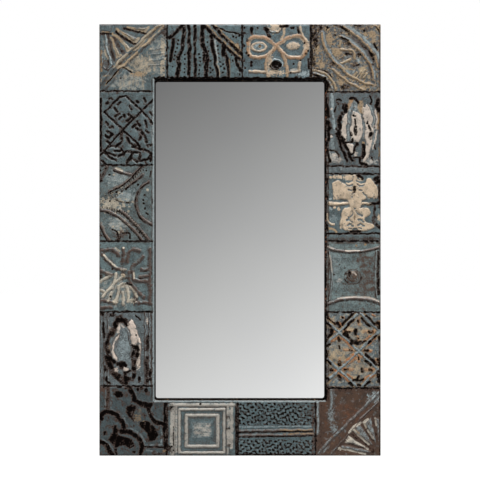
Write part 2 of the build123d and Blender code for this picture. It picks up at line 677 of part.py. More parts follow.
def boards():
    """The two stiles run the full height, and the rails fit between them."""
    frame = bored_frame()
    joint_x = OPEN_X + TIN
    depth = (BOARD_FRONT_Y - REACH, BACK_Y + REACH)
    over_x = HALF_WIDTH + REACH
    over_z = HALF_HEIGHT + REACH
    full_height = (-over_z, over_z)
    return {
        "stile_left": frame & block((-over_x, -joint_x), depth, full_height),
        "stile_right": frame & block((joint_x, over_x), depth, full_height),
        "rail_top": frame & block((-joint_x, joint_x), depth, (0, over_z)),
        "rail_bottom": frame & block((-joint_x, joint_x), depth, (-over_z, 0)),
    }


def panel(y_range):
    """A sheet that stands on the bottom of the rabbet."""
    half_x = RABBET_X - PANEL_CLEARANCE
    return block((-half_x, half_x), y_range, (-RABBET_Z, RABBET_Z - PANEL_CLEARANCE))


def mirror_glass():
    glass = panel((GLASS_Y, CARD_Y))
    return chamfer(glass.faces().sort_by(Axis.Y)[0].edges(), GLASS_ARRIS)


# ---------------------------------------------------------------- hardware
def screw(x, seat_y, z):
    """A pan-head wood screw driven towards the front, with its head's seat at seat_y."""
    head = shank(x, seat_y, z, SCREW_HEAD_HEIGHT, radius=SCREW_HEAD_RADIUS)
    return head + shank(x, seat_y, z, BACK_Y - SCREW_LENGTH - seat_y)


def turn_button(place, tip):
    """A flat steel button with clipped corners that turns on its screw, with more length on the glass side."""
    x, z = place
    plane = Plane(origin=(x, BACK_Y, z), x_dir=Vector(*tip), z_dir=(0, 1, 0))
    length = TURN_BUTTON_TAIL + TURN_BUTTON_REACH
    plate = Rectangle(length, TURN_BUTTON_WIDTH, align=(Align.MIN, Align.CENTER))
    plate = chamfer(plate.vertices(), TURN_BUTTON_CORNER)
    blank = extrude(plane * Pos(-TURN_BUTTON_TAIL, 0) * plate, amount=TURN_BUTTON_THICKNESS)
    return blank - rod((x, BACK_Y, z), (0, 1, 0), SCREW_RADIUS + RUNNING_CLEARANCE, length)


EYE_RADIUS = RING_WIRE_RADIUS + RUNNING_CLEARANCE
EYE_OUTER_RADIUS = EYE_RADIUS + STRAP_THICKNESS
RING_Y = BACK_Y + EYE_OUTER_RADIUS


def hanger_strap(side):
    """A steel strap whose inner end is rolled into the eye that holds the ring's straight side."""
    profile = Circle(EYE_OUTER_RADIUS)
    floor = -EYE_OUTER_RADIUS
    strip = Rectangle(STRAP_LENGTH, STRAP_THICKNESS, align=(Align.MIN, Align.MIN))
    profile += Pos(0, floor) * strip
    profile -= Circle(EYE_RADIUS)
    hinge_x = side * (HALF_WIDTH - HANGER_INSET)
    foot = HANGER_HEIGHT - side * STRAP_WIDTH / 2
    plane = Plane(origin=(hinge_x, RING_Y, foot), x_dir=(side, 0, 0), z_dir=(0, 0, side))
    strap = extrude(plane * profile, amount=STRAP_WIDTH)
    outer_end = strap.edges().filter_by(Axis.Y).group_by(Axis.X)[0 if side < 0 else -1]
    strap = chamfer(outer_end, STRAP_CORNER)
    for inset in STRAP_SCREW_INSETS:
        strap -= shank(hinge_x + side * inset, BACK_Y, HANGER_HEIGHT, STRAP_LENGTH)
    return strap


def hanger_ring(side):
    """A D-ring of round wire: its straight side is the hinge, and its bow points to the mirror's middle."""
    half = RING_HALF_WIDTH
    bow = ThreePointArc((RING_LEG, half), (RING_LEG + half, 0), (RING_LEG, -half))
    bow_points = [bow @ (step / RING_BOW_CHORDS) for step in range(RING_BOW_CHORDS + 1)]
    path = Polyline((0, 0), (0, half), *bow_points, (0, -half), (0, 0))
    wire = Plane(origin=(0, 0, 0), x_dir=(1, 0, 0), z_dir=(0, 1, 0)) * Circle(RING_WIRE_RADIUS)
    ring = sweep(wire, path=path, transition=Transition.RIGHT)
    hinge_x = side * (HALF_WIDTH - HANGER_INSET)
    place = Plane(origin=(hinge_x, RING_Y, HANGER_HEIGHT), x_dir=(-side, 0, 0), z_dir=(0, side, 0))
    return place.location * ring


def hanger_screws():
    solids = []
    for x, z in screw_places()[len(turn_button_places()):]:
        solids.append(screw(x, BACK_Y + STRAP_THICKNESS, z))
    return solids


def turn_button_screws():
    seat = BACK_Y + TURN_BUTTON_THICKNESS + HEAD_CLEARANCE
    return [screw(x, seat, z) for (x, z), _ in turn_button_places()]


def bumpers():
    """Square rubber pads, one in each corner of the frame's back."""
    side_x = HALF_WIDTH - BUMPER_INSET
    side_z = HALF_HEIGHT - BUMPER_INSET
    pad = Box(BUMPER_SIDE, BUMPER_HEIGHT, BUMPER_SIDE, align=(Align.CENTER, Align.MIN, Align.CENTER))
    return [Pos(side * side_x, BACK_Y, end * side_z) * pad for side in (-1, 1) for end in (-1, 1)]


# ---------------------------------------------------------------- write the parts
def write(name, shape):
    solids = shape if isinstance(shape, list) else [shape]
    loose = [one for item in solids for one in item.solids()]
    made = Compound(children=loose) if len(loose) > 1 else loose[0]
    made.label = name
    export_step(made, f"parts/{name}.step")


for tile_name, tile_x, tile_z, tile_pattern in tile_layout():
    tile = folded_sheet(tile_x, tile_z) + pressed_face(tile_x, tile_z, tile_pattern)
    for nail_hole in NAIL_HOLES:
        tile -= nail_hole
    write(tile_name, tile)

for board_name, board in boards().items():
    write(board_name, board)

write("corner_tenons", tenons(0))
write("tile_nails", [nail(place, drive) for place, drive in NAILS])
write("mirror_glass", mirror_glass())
write("backing_card", panel((CARD_Y, PANEL_Y)))
write("backing_board", panel((PANEL_Y, PANEL_Y + BACK_THICKNESS)))

for number, (button_place, button_tip) in enumerate(turn_button_places(), start=1):
    write(f"turn_button_{number}", turn_button(button_place, button_tip))
write("turn_button_screws", turn_button_screws())

for side_name, side_sign in (("left", -1), ("right", 1)):
    write(f"hanger_strap_{side_name}", hanger_strap(side_sign))
    write(f"hanger_ring_{side_name}", hanger_ring(side_sign))
write("hanger_screws", hanger_screws())
write("wall_bumpers", bumpers())
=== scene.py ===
"""Looks of the tin-clad wall mirror: sixteen worn pressed-tin tiles, the mirror glass, and the hardware behind.

Every tile is a sheet on a fine grid. Its relief, its wear and its painted shade and highlights come from strokes
that are placed as shares (u, v) of the tile's width and height, u to the right and v up. Tile sizes are in
millimetres.
"""

import math

import bmesh
import bpy
import numpy as np
from mathutils import Matrix, Vector


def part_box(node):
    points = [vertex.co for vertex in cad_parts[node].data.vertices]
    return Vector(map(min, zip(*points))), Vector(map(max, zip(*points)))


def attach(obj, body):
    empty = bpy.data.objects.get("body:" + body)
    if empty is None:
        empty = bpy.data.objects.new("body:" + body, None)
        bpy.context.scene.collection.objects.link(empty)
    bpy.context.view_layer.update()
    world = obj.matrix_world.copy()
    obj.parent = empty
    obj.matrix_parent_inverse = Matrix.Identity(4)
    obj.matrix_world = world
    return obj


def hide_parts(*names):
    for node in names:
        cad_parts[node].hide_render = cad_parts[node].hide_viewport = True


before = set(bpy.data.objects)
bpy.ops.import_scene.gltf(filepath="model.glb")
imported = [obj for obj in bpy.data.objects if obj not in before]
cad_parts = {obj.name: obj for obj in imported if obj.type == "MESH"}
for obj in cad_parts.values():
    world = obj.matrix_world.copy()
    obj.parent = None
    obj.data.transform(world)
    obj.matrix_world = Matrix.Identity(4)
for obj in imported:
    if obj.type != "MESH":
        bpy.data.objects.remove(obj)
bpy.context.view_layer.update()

MM = 0.001
GRID_PITCH = 0.8  # this and the sizes below are in millimetres, as all tile sizes are
FOLD_RADIUS = 1.4
TIN = 0.45  # a little under the CAD sheet, so that it lies clear of the boards
MAX_HEIGHT = 2.35
STROKE_REACH = 14.0
FAR = 99.0  # more than any distance that counts

OUTER_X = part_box("tile_right_2")[1].x / MM
OPEN_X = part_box("tile_right_2")[0].x / MM
OUTER_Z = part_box("tile_top_1")[1].z / MM
OPEN_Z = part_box("tile_top_1")[0].z / MM
FACE_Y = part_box("stile_left")[0].y / MM - 0.5
OUTER_END_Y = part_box("tile_top_1")[1].y / MM
GLASS_FRONT_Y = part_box("mirror_glass")[0].y / MM
NEAR = 0.6  # lines closer than this count as one
SEAM_LAP = 0.3  # half of the gap between two tiles


def srgb(red, green, blue):
    """A colour written as it looks on a screen, 0 to 255, as linear values."""
    linear = []
    for value in (red, green, blue):
        share = value / 255
        linear.append(share / 12.92 if share < 0.04045 else ((share + 0.055) / 1.055) ** 2.4)
    return (*linear, 1.0)


# ---------------------------------------------------------------- fields
def smooth(value, low=0.0, high=1.0):
    """0 below the low value, 1 above the high one, and an S-shaped rise between them."""
    share = np.clip((value - low) / (high - low), 0, 1)
    return share * share * (3 - 2 * share)


def bell(distance, width):
    """1 on a stroke's middle line, falling smoothly to 0 at half its width."""
    return np.clip(1 - (2 * distance / width) ** 2, 0, 1) ** 1.5


def stripe(distance, width):
    """1 along the middle of a painted or dirty line, and a half at its edges."""
    return smooth(0.85 * width - distance, 0, 0.7 * width)


def waves(x, z, length, seed, count=26):
    """A smooth random field with features of about one length, and values mostly between -2 and 2."""
    draw = np.random.default_rng(seed)
    total = np.zeros_like(x)
    for _ in range(count):
        angle = draw.uniform(0, 2 * math.pi)
        pulse = 2 * math.pi / length * draw.uniform(0.75, 1.3)
        total += np.cos(pulse * (x * math.cos(angle) + z * math.sin(angle)) + draw.uniform(0, 2 * math.pi))
    return total / math.sqrt(count / 2)


def flow(points, steps=7):
    """A smooth path through the points."""
    if len(points) < 3:
        return list(points)
    ends = [points[0], *points, points[-1]]
    path = []
    for a, b, c, d in zip(ends, ends[1:], ends[2:], ends[3:]):
        for step in range(steps):
            t = step / steps
            path.append(tuple(
                0.5 * (2 * b[k] + (c[k] - a[k]) * t + (2 * a[k] - 5 * b[k] + 4 * c[k] - d[k]) * t * t
                       + (3 * b[k] - a[k] - 3 * c[k] + d[k]) * t ** 3)
                for k in (0, 1)))
    return path + [points[-1]]


def ring(centre, radii, start=0, end=360, steps=20):
    """Part of an ellipse, from one angle to another, counted from the right and upwards."""
    turns = [math.radians(start + (end - start) * step / steps) for step in range(steps + 1)]
    return [(centre[0] + radii[0] * math.cos(t), centre[1] + radii[1] * math.sin(t)) for t in turns]


def blurred(field, steps):
    """The field averaged over a square window."""
    for axis in (0, 1):
        padded = np.pad(field, [(steps + 1, steps) if a == axis else (0, 0) for a in (0, 1)], mode="edge")
        total = np.cumsum(padded, axis=axis)
        count = 2 * steps + 1
        if axis == 0:
            field = (total[count:] - total[:-count]) / count
        else:
            field = (total[:, count:] - total[:, :-count]) / count
    return field


def grid_lines(low, high, through):
    """Evenly spaced lines between two ends, with one exactly at each line to pass through."""
    stops = [low, *[stop for stop in through if low + NEAR < stop < high - NEAR], high]
    parts = [np.linspace(a, b, max(3, round((b - a) / GRID_PITCH) + 1)) for a, b in zip(stops, stops[1:])]
    return np.concatenate([parts[0]] + [part[1:] for part in parts[1:]])


# The dark mark is both grime and painted shade, and the pale mark both worn paint and painted highlight.
KINDS = ("pale", "tan", "brown", "rust", "cream", "grime")


class Tile:
    """The relief and the wear of one pressed-tin tile."""

    def __init__(self, name, seed, base=0.0, wobble=0.3):
        low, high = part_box(name)
        self.name = name
        self.seed = seed
        self.x0, self.z0 = low.x / MM, low.z / MM
        self.x1, self.z1 = high.x / MM, high.z / MM
        self.width = self.x1 - self.x0
        self.tall = self.z1 - self.z0
        inner_x, inner_z = OPEN_X + FOLD_RADIUS, OPEN_Z + FOLD_RADIUS
        face_x = [self.folded(self.x0, OUTER_X, OPEN_X, 1), self.folded(self.x1, OUTER_X, OPEN_X, -1)]
        face_z = [self.folded(self.z0, OUTER_Z, OPEN_Z, 1), self.folded(self.z1, OUTER_Z, OPEN_Z, -1)]
        self.xs = grid_lines(*face_x, (-inner_x, inner_x))
        self.zs = grid_lines(*face_z, (-inner_z, inner_z))
        self.x, self.z = np.meshgrid(self.xs, self.zs, indexing="ij")
        self.bent_x = self.x + 0.7 * wobble * self.noise(9.0, 11) + 1.5 * wobble * self.noise(26.0, 12)
        self.bent_z = self.z + 0.7 * wobble * self.noise(9.0, 13) + 1.5 * wobble * self.noise(26.0, 14)
        self.patchy = 0.20 * self.noise(13.0, 15) + 0.16 * self.noise(5.0, 16)
        self.base = base
        self.height = np.full(self.x.shape, float(base))
        self.marks = {kind: np.zeros(self.x.shape) for kind in KINDS}

    def noise(self, length, number):
        return waves(self.x, self.z, length, 1000 * self.seed + number)

    @staticmethod
    def folded(edge, outer, opening, inward):
        """Where the flat face ends: at the start of a fold, or almost at the next tile."""
        at_fold = min(abs(abs(edge) - outer), abs(abs(edge) - opening)) < NEAR / 2
        return edge + inward * FOLD_RADIUS if at_fold else edge - inward * SEAM_LAP

    def place(self, point):
        return self.x0 + point[0] * self.width, self.z0 + point[1] * self.tall

    def distance(self, path, shift=(0.0, 0.0)):
        """Distance in millimetres from each grid point to a path, as far as strokes reach."""
        found = np.full(self.x.shape, STROKE_REACH)
        spots = [self.place(point) for point in path]
        spots = [(x + shift[0], z + shift[1]) for x, z in spots]
        for (ax, az), (bx, bz) in zip(spots, spots[1:]):
            i = np.searchsorted(self.xs, (min(ax, bx) - STROKE_REACH, max(ax, bx) + STROKE_REACH))
            j = np.searchsorted(self.zs, (min(az, bz) - STROKE_REACH, max(az, bz) + STROKE_REACH))
            part = (slice(*i), slice(*j))
            dx, dz = bx - ax, bz - az
            length = max(dx * dx + dz * dz, 1e-9)
            px, pz = self.bent_x[part] - ax, self.bent_z[part] - az
            t = np.clip((px * dx + pz * dz) / length, 0, 1)
            found[part] = np.minimum(found[part], np.hypot(px - t * dx, pz - t * dz))
        return found

    def mark(self, field, **strengths):
        for kind, strength in strengths.items():
            shown = np.clip(field * strength * (1 + self.patchy), 0, 1)
            self.marks[kind] = np.maximum(self.marks[kind], shown)

    def wipe(self, field, *kinds):
        for kind in kinds:
            self.marks[kind] *= 1 - field

    def ridge(self, *points, width=4.0, height=1.4, dark=0.65, light=0.45, straight=False, **crest):
        """A raised line, with painted shade along its lower left side and a painted highlight along its upper right
        side.
        """
        path = points if straight else flow(points)
        raised = bell(self.distance(path), width)
        self.height = np.maximum(self.height, self.base + height * raised)
        below = (-0.26 * width, -0.44 * width)
        above = (0.14 * width, 0.24 * width)
        # painted shade below and left of the ridge, painted highlight above and right of it
        self.mark(stripe(self.distance(path, below), width * 0.5), grime=dark)
        self.mark(stripe(self.distance(path, above), width * 0.45), pale=light)
        self.mark(stripe(self.distance(path), width * 0.75), **crest)

    def groove(self, *points, width=4.0, depth=0.9, dark=0.95, light=0.4, straight=False, **floor):
        """A sunk dark line, dark from grime and painted shade, with a painted highlight on the lip that faces the
        upper right.
        """
        path = points if straight else flow(points)
        sunk = bell(self.distance(path), width)
        self.height = np.maximum(self.height - depth * sunk, 0)
        # painted highlight on the lower left lip, which faces the light
        self.mark(stripe(self.distance(path, (-0.35 * width, -0.55 * width)), width * 0.5), pale=light)
        self.mark(stripe(self.distance(path), width * 0.8), grime=dark, **floor)

    def line(self, *points, width=3.0, straight=False, **strengths):
        """A painted or worn line with no relief of its own."""
        self.mark(stripe(self.distance(points if straight else flow(points)), width * 0.85), **strengths)

    def inside(self, points, soft):
        """1 inside a closed outline, falling to 0 at its edge over the soft width."""
        path = [*points, points[0]]
        within = np.zeros(self.x.shape, bool)
        spots = [self.place(point) for point in path]
        for (ax, az), (bx, bz) in zip(spots, spots[1:]):
            if az != bz:
                crossing = (self.z >= min(az, bz)) & (self.z < max(az, bz))
                within ^= crossing & (self.x < ax + (self.z - az) * (bx - ax) / (bz - az))
        return smooth(np.where(within, self.distance(path), 0), 0, soft)

    def pad(self, *points, height=1.0, soft=2.5, rim=0.6, **top):
        """A raised field with sloping sides, ringed by a dark line set off to its lower left, which is painted
        shade.
        """
        field = self.inside(points, soft)
        self.height = np.maximum(self.height, self.base + height * field)
        path = [*points, points[0]]
        # painted shade: the rim's dark line is shifted down and to the left
        self.mark(stripe(self.distance(path, (-0.8, -1.2)), 3.0), grime=rim)
        self.mark(field, **top)

    def oval(self, centre, radii, height=1.0, soft=2.5, rim=0.6, **top):
        self.pad(*ring(centre, radii)[:-1], height=height, soft=soft, rim=rim, **top)

    def dots(self, *centres, size=3.0, height=-0.8, **strengths):
        """Small round beads, or pits where the height is negative."""
        for centre in centres:
            field = bell(self.distance([centre, centre]), size)
            self.height = np.maximum(self.height + height * field, 0)
            self.mark(smooth(field, 0.0, 0.5), **strengths)

    def beads(self, *points, pitch=5.0, **bead):
        """A row of beads or pits along a path."""
        spots = [self.place(point) for point in flow(points)]
        steps = [0.0]
        for a, b in zip(spots, spots[1:]):
            steps.append(steps[-1] + math.dist(a, b))
        for along in np.arange(pitch / 2, steps[-1], pitch):
            x = np.interp(along, steps, [spot[0] for spot in spots])
            z = np.interp(along, steps, [spot[1] for spot in spots])
            self.dots(((x - self.x0) / self.width, (z - self.z0) / self.tall), **bead)

    def blot(self, centre, radii, ragged=0.35, **strengths):
        """A patch with a ragged outline."""
        x, z = self.place(centre)
        reach = np.hypot((self.x - x) / (radii[0] * self.width), (self.z - z) / (radii[1] * self.tall))
        size = min(radii[0] * self.width, radii[1] * self.tall)
        reach = reach + ragged * 0.6 * (self.noise(max(size, 5.0), 21) + 0.7 * self.noise(max(size / 2.5, 4.0), 22))
        self.mark(smooth(1.5 - reach, 0.0, 1.0), **strengths)

    def stain(self, *points, soft=8.0, **strengths):
        """A patch inside an outline, with an edge that fades over the soft width."""
        self.mark(self.inside(points, soft), **strengths)

    def mottle(self, length, share, seed, **strengths):
        """Patches all over the tile. share is from 0, none, to 1, all over."""
        field = self.noise(length, seed) + 0.6 * self.noise(length / 2.6, seed + 1)
        level = 1.4 - 3.2 * share
        self.mark(smooth(field, level, level + 1.8), **strengths)

    def finish(self, wear=0.3, dirt=0.35, seams=0.9):
        """Adds what follows from the relief and from the tile's place: rubbed crests, grime, painted shade along
        the folds, and painted light and shade beside the opening.
        """
        around = blurred(self.height, 3)
        self.mark(np.clip((self.height - around) / 0.35, 0, 1), pale=wear)
        self.mark(np.clip((around - self.height) / 0.3, 0, 1), grime=dirt)
        uneven = 0.5 * waves(self.x, self.z, 9.0, self.seed + 3) + 0.4 * waves(self.x, self.z, 23.0, self.seed + 4)
        to_edge = np.full(self.x.shape, FAR)
        to_fold = np.full(self.x.shape, FAR)
        for lines, grid, low, high, outer, opening in (
                (self.xs, self.x, self.x0, self.x1, OUTER_X, OPEN_X),
                (self.zs, self.z, self.z0, self.z1, OUTER_Z, OPEN_Z)):
            for edge in (low, high):
                gap = np.abs(grid - edge)
                if min(abs(abs(edge) - outer), abs(abs(edge) - opening)) < NEAR / 2:
                    to_fold = np.minimum(to_fold, gap)
                else:
                    to_edge = np.minimum(to_edge, gap)
        notch = np.maximum(np.abs(self.x) - OPEN_X, np.abs(self.z) - OPEN_Z)
        to_fold = np.minimum(to_fold, np.maximum(notch, 0))
        self.mark(smooth(2.6 + 0.9 * uneven - to_edge, 0, 1.8), grime=seams)
        # painted shade along the folds, where the sheet turns away from the light
        self.mark(smooth(3.0 + 1.1 * uneven - to_fold, 0, 2.4), grime=0.45)
        self.light_by_opening(uneven)
        self.settle(to_edge, to_fold)

    def light_by_opening(self, uneven):
        """The edge beside the opening: painted shade above it and on its right, painted highlight below it and on
        its left.
        """
        over = OPEN_Z - 4 < np.abs(self.z.mean()) and np.abs(self.x.mean()) < OPEN_X + 60
        beside = np.abs(self.x.mean()) > OPEN_X - 4 and np.abs(self.z.mean()) < OPEN_Z + 60
        from_level = np.where(np.abs(self.x) < OPEN_X + FOLD_RADIUS, np.abs(self.z) - OPEN_Z, FAR)
        from_upright = np.where(np.abs(self.z) < OPEN_Z + FOLD_RADIUS, np.abs(self.x) - OPEN_X, FAR)
        if over and self.z.mean() > 0:
            self.mark(smooth(5.5 + 1.5 * uneven - from_level, 0, 2.5), grime=1.0)
        if over and self.z.mean() < 0:
            self.wipe(smooth(4.6 - from_level, 0, 1.5), "grime", "brown")
            self.mark(smooth(2.6 + 0.3 * uneven - from_level, 0, 1.0), pale=1.0, cream=0.12)
        if beside and self.x.mean() > 0:
            self.mark(smooth(2.4 + 0.5 * uneven - from_upright, 0, 1.0), grime=0.9)
            self.mark(smooth(6.4 - from_upright, 0, 1.0), grime=0.38)
            self.mark(stripe(np.abs(from_upright - 6.2 - 0.4 * uneven), 1.6), grime=0.6)
        if beside and self.x.mean() < 0:
            lit = smooth(3.4 + 0.4 * uneven - from_upright, 0, 1.2)
            self.wipe(0.8 * lit, "grime", "brown")
            self.mark(lit, pale=0.8)
            self.mark(stripe(np.abs(from_upright - 5.0), 1.4), grime=0.5)

    def settle(self, to_edge, to_fold):
        """Brings the relief down to the flat sheet at the tile's seams and folds."""
        keep = smooth(np.minimum(to_edge, to_fold - FOLD_RADIUS), 0.2, 2.6)
        self.height = np.clip(self.height, 0, MAX_HEIGHT) * keep
        self.height -= 0.2 * smooth(1.6 - to_edge, 0, 1.6)
        self.height += 0.12 * np.maximum(waves(self.x, self.z, 60.0, self.seed + 5), 0) * keep
        self.height = np.minimum(self.height, MAX_HEIGHT)


# ---------------------------------------------------------------- the sixteen patterns
def fan_in_corner(t):
    t.blot((0.62, 0.42), (0.17, 0.12), cream=0.62, ragged=0.3)
    t.blot((0.66, 0.33), (0.10, 0.06), cream=0.6, ragged=0.5)
    t.blot((0.42, 0.14), (0.24, 0.13), cream=0.35, pale=0.45)
    t.blot((0.88, 0.55), (0.12, 0.30), cream=0.28, pale=0.35)
    t.blot((0.10, 0.62), (0.08, 0.18), cream=0.25, pale=0.3)
    for u, low, high in ((0.31, 0.04, 0.14), (0.36, 0.08, 0.24), (0.44, 0.05, 0.22), (0.50, 0.08, 0.20),
                         (0.64, 0.04, 0.24), (0.56, 0.10, 0.20), (0.74, 0.30, 0.52), (0.81, 0.27, 0.42)):
        t.line((u, low), (u + 0.01, high), width=8.0, cream=0.5)
    t.pad((0.0, 0.89), (0.17, 0.89), (0.17, 1.0), (0.0, 1.0), height=1.0, rim=0.3)
    t.line((0.04, 0.88), (0.14, 0.88), width=4.0, tan=0.6)
    t.line((0.02, 0.855), (0.18, 0.86), width=5.0, grime=0.8)
    rays = (
        ((0.18, 0.79), (0.235, 0.64), (0.27, 0.50), (0.32, 0.535), 0.9),
        ((0.20, 0.86), (0.35, 0.73), (0.42, 0.605), (0.485, 0.635), 1.0),
        ((0.26, 0.92), (0.42, 0.81), (0.51, 0.725), (0.585, 0.79), 0.85),
        ((0.42, 0.955), (0.56, 0.915), (0.67, 0.885), (0.73, 0.95), 0.75),
    )
    for hub, middle, low, high, worn in rays:
        t.pad(hub, middle, low, high, height=1.9, soft=4.0, rim=0.0)
        t.line(hub, middle, low, width=6.5, tan=worn, cream=0.35 * worn)
        t.line(middle, ((low[0] + high[0]) / 2, (low[1] + high[1]) / 2), width=6.0, cream=worn)
        t.line(low, high, width=6.0, tan=0.8 * worn, cream=0.8 * worn)
    for valley in (((0.13, 0.83), (0.17, 0.66), (0.22, 0.46)), ((0.22, 0.80), (0.30, 0.66), (0.37, 0.56))):
        t.groove(*valley, width=10.0, depth=0.8, dark=0.5, light=0.0)
    t.groove((0.25, 0.89), (0.38, 0.78), (0.53, 0.70), width=6.0, depth=0.8, dark=0.9, light=0.0)
    t.groove((0.36, 0.94), (0.53, 0.895), (0.70, 0.855), width=6.0, depth=0.8, dark=0.9, light=0.0)
    t.dots((0.275, 0.545), size=9.0, height=-0.2, brown=0.9, grime=0.35)
    t.ridge((0.09, 0.84), (0.11, 0.64), (0.15, 0.50), (0.18, 0.41), width=6.5, height=1.8, dark=0.1, light=0.9)
    t.line((0.08, 0.60), (0.13, 0.48), width=6.0, cream=0.7)
    t.ridge((0.18, 0.41), (0.15, 0.34), (0.09, 0.33), (0.045, 0.40), (0.05, 0.50), width=4.0, height=1.2, dark=0.2)
    t.oval((0.105, 0.40), (0.045, 0.06), height=-0.5, rim=0.45, grime=0.3)
    t.line((0.135, 0.45), (0.14, 0.39), width=4.0, grime=0.7)
    t.line((0.03, 0.60), (0.03, 0.30), width=5.0, brown=0.9, tan=0.5)
    t.ridge((0.02, 0.12), (0.30, 0.44), (0.62, 0.75), (0.92, 1.02), width=8.5, height=2.2, light=0.1, dark=0.2)
    t.ridge((0.08, 0.04), (0.36, 0.37), (0.66, 0.66), (1.0, 0.98), width=8.5, height=2.0, light=0.1, dark=0.25)
    t.groove((0.10, 0.14), (0.37, 0.47), (0.56, 0.66), width=3.6, depth=0.5, dark=0.3, light=0.1)
    t.line((0.52, 0.63), (0.62, 0.73), (0.75, 0.87), width=9.5, cream=0.85, tan=0.5)
    t.line((0.58, 0.64), (0.69, 0.70), (0.78, 0.79), width=8.0, tan=0.8, cream=0.35)
    t.line((0.76, 0.88), (0.92, 1.0), width=6.0, tan=0.7, cream=0.2)
    t.line((0.80, 0.82), (0.96, 0.98), width=6.0, tan=0.55, cream=0.3)
    t.line((0.23, 0.36), (0.31, 0.45), (0.41, 0.54), width=8.0, cream=0.75, tan=0.3)
    t.line((0.33, 0.36), (0.45, 0.47), (0.56, 0.575), width=6.5, tan=0.9, cream=0.3)
    t.blot((0.30, 0.38), (0.07, 0.05), tan=0.9, cream=0.5)
    t.line((0.56, 0.575), (0.66, 0.66), (0.80, 0.80), width=4.0, pale=0.4)
    t.dots((0.315, 0.415), size=9.5, height=-0.5, brown=1.0, grime=0.75)
    t.line((0.03, 0.14), (0.05, 0.21), (0.13, 0.22), width=5.0, tan=0.5, pale=0.4)
    t.line((0.07, 0.08), (0.17, 0.18), (0.28, 0.29), width=5.0, tan=0.5)
    t.groove((0.11, 0.11), (0.20, 0.215), (0.30, 0.32), (0.35, 0.345), (0.42, 0.315), (0.48, 0.275), width=4.6,
             depth=0.6, brown=1.0, dark=0.8)
    t.line((0.37, 0.35), (0.45, 0.325), (0.50, 0.30), width=5.0, cream=0.9)
    t.blot((0.58, 0.255), (0.10, 0.04), tan=1.0, rust=0.15, cream=0.3)
    for rise in (0.38, 0.46, 0.54, 0.62):
        t.ridge((0.74, rise), (0.86, rise + 0.01), (0.95, rise + 0.03), width=5.0, height=0.6, dark=0.2, light=0.3)
    t.blot((0.76, 0.625), (0.03, 0.02), cream=0.8)
    t.blot((0.94, 0.66), (0.04, 0.12), cream=0.7)
    t.blot((0.93, 0.36), (0.04, 0.13), cream=0.65)
    t.dots((0.975, 0.68), (0.975, 0.48), (0.955, 0.24), size=6.0, height=0.3, cream=1.0, pale=1.0)
    t.dots((0.74, 0.36), (0.74, 0.22), (0.32, 0.19), (0.98, 0.52), (0.95, 0.34), size=5.5, height=-0.3, grime=0.6)
    t.blot((0.97, 0.90), (0.05, 0.10), grime=0.5)
    t.finish(wear=0.3, dirt=0.35)


def reeds_and_rays(t):
    valleys = (
        ((0.21, 0.99), (0.13, 0.87), (0.03, 0.75), 8.0),
        ((0.085, 0.72), (0.065, 0.52), (0.04, 0.33), 7.5),
        ((0.235, 1.0), (0.215, 0.78), (0.20, 0.55), (0.15, 0.38), (0.155, 0.2), (0.115, 0.0), 8.0),
        ((0.293, 1.02), (0.293, 0.5), (0.293, -0.02), 7.0),
        ((0.372, 1.02), (0.372, 0.5), (0.372, -0.02), 7.0),
        ((0.475, 1.0), (0.465, 0.7), (0.495, 0.53), (0.535, 0.40), (0.522, 0.22), (0.515, 0.0), 9.0),
        ((0.585, 0.78), (0.61, 0.58), (0.65, 0.25), (0.685, 0.0), 7.5),
        ((0.745, 0.60), (0.775, 0.45), (0.81, 0.25), (0.82, 0.04), 7.5),
        ((0.92, 0.37), (0.945, 0.25), (0.97, 0.15), 6.5),
    )
    for *path, width in valleys:
        t.groove(*path, width=width * 1.2, depth=1.2, dark=0.95, light=0.3, brown=0.6)
    for path in (((0.48, 1.0), (0.63, 0.78), (0.80, 0.56), (0.97, 0.36)),
                 ((0.60, 0.98), (0.75, 0.77), (0.90, 0.57), (1.0, 0.45))):
        t.groove(*path, width=8.0, depth=1.2, dark=1.0, light=0.0, brown=0.6)
        t.line(*[(u + 0.02, v + 0.035) for u, v in path], width=4.0, tan=0.6, brown=0.7)
    t.groove((0.65, 0.94), (0.80, 0.865), (1.0, 0.80), width=4.5, depth=1.0, brown=0.9)
    t.blot((0.745, 0.50), (0.025, 0.10), ragged=0.1, grime=0.95)
    t.blot((0.50, 0.42), (0.03, 0.14), ragged=0.2, grime=0.8)
    t.line((0.635, 0.70), (0.66, 0.45), (0.70, 0.05), width=5.0, pale=0.9, cream=0.35)
    t.line((0.67, 0.30), (0.70, 0.08), width=4.0, tan=0.6)
    t.line((0.83, 0.35), (0.835, 0.05), width=4.5, tan=0.5, brown=0.6)
    t.line((0.94, 0.40), (0.97, 0.2), width=5.0, brown=0.7, cream=0.3)
    rows = (
        ((0.15, 0.70), (0.14, 0.635), (0.125, 0.57), (0.11, 0.50), (0.105, 0.43), (0.09, 0.36), (0.075, 0.22)),
        ((0.24, 0.44), (0.235, 0.36), (0.23, 0.275), (0.23, 0.19), (0.225, 0.12), (0.225, 0.04)),
        ((0.43, 0.46), (0.435, 0.39), (0.438, 0.32), (0.433, 0.25), (0.43, 0.17), (0.43, 0.10), (0.43, 0.03)),
        ((0.54, 0.67), (0.54, 0.58), (0.555, 0.50), (0.58, 0.33), (0.575, 0.21), (0.605, 0.17), (0.58, 0.12)),
        ((0.67, 0.60), (0.68, 0.53), (0.685, 0.46), (0.69, 0.38), (0.71, 0.31), (0.75, 0.27), (0.72, 0.23),
         (0.76, 0.19), (0.745, 0.12)),
        ((0.86, 0.42), (0.875, 0.33), (0.88, 0.77), (0.92, 0.75), (0.96, 0.78), (0.97, 0.08)),
    )
    for row in rows:
        t.dots(*row, size=5.6, height=-0.9, grime=0.95)
    t.oval((0.93, 0.60), (0.045, 0.055), height=0.6, rim=0.5, tan=0.8, brown=0.6)
    t.oval((0.97, 0.50), (0.03, 0.04), height=0.5, rim=0.7, tan=0.6)
    t.finish(wear=0.3, dirt=0.4)


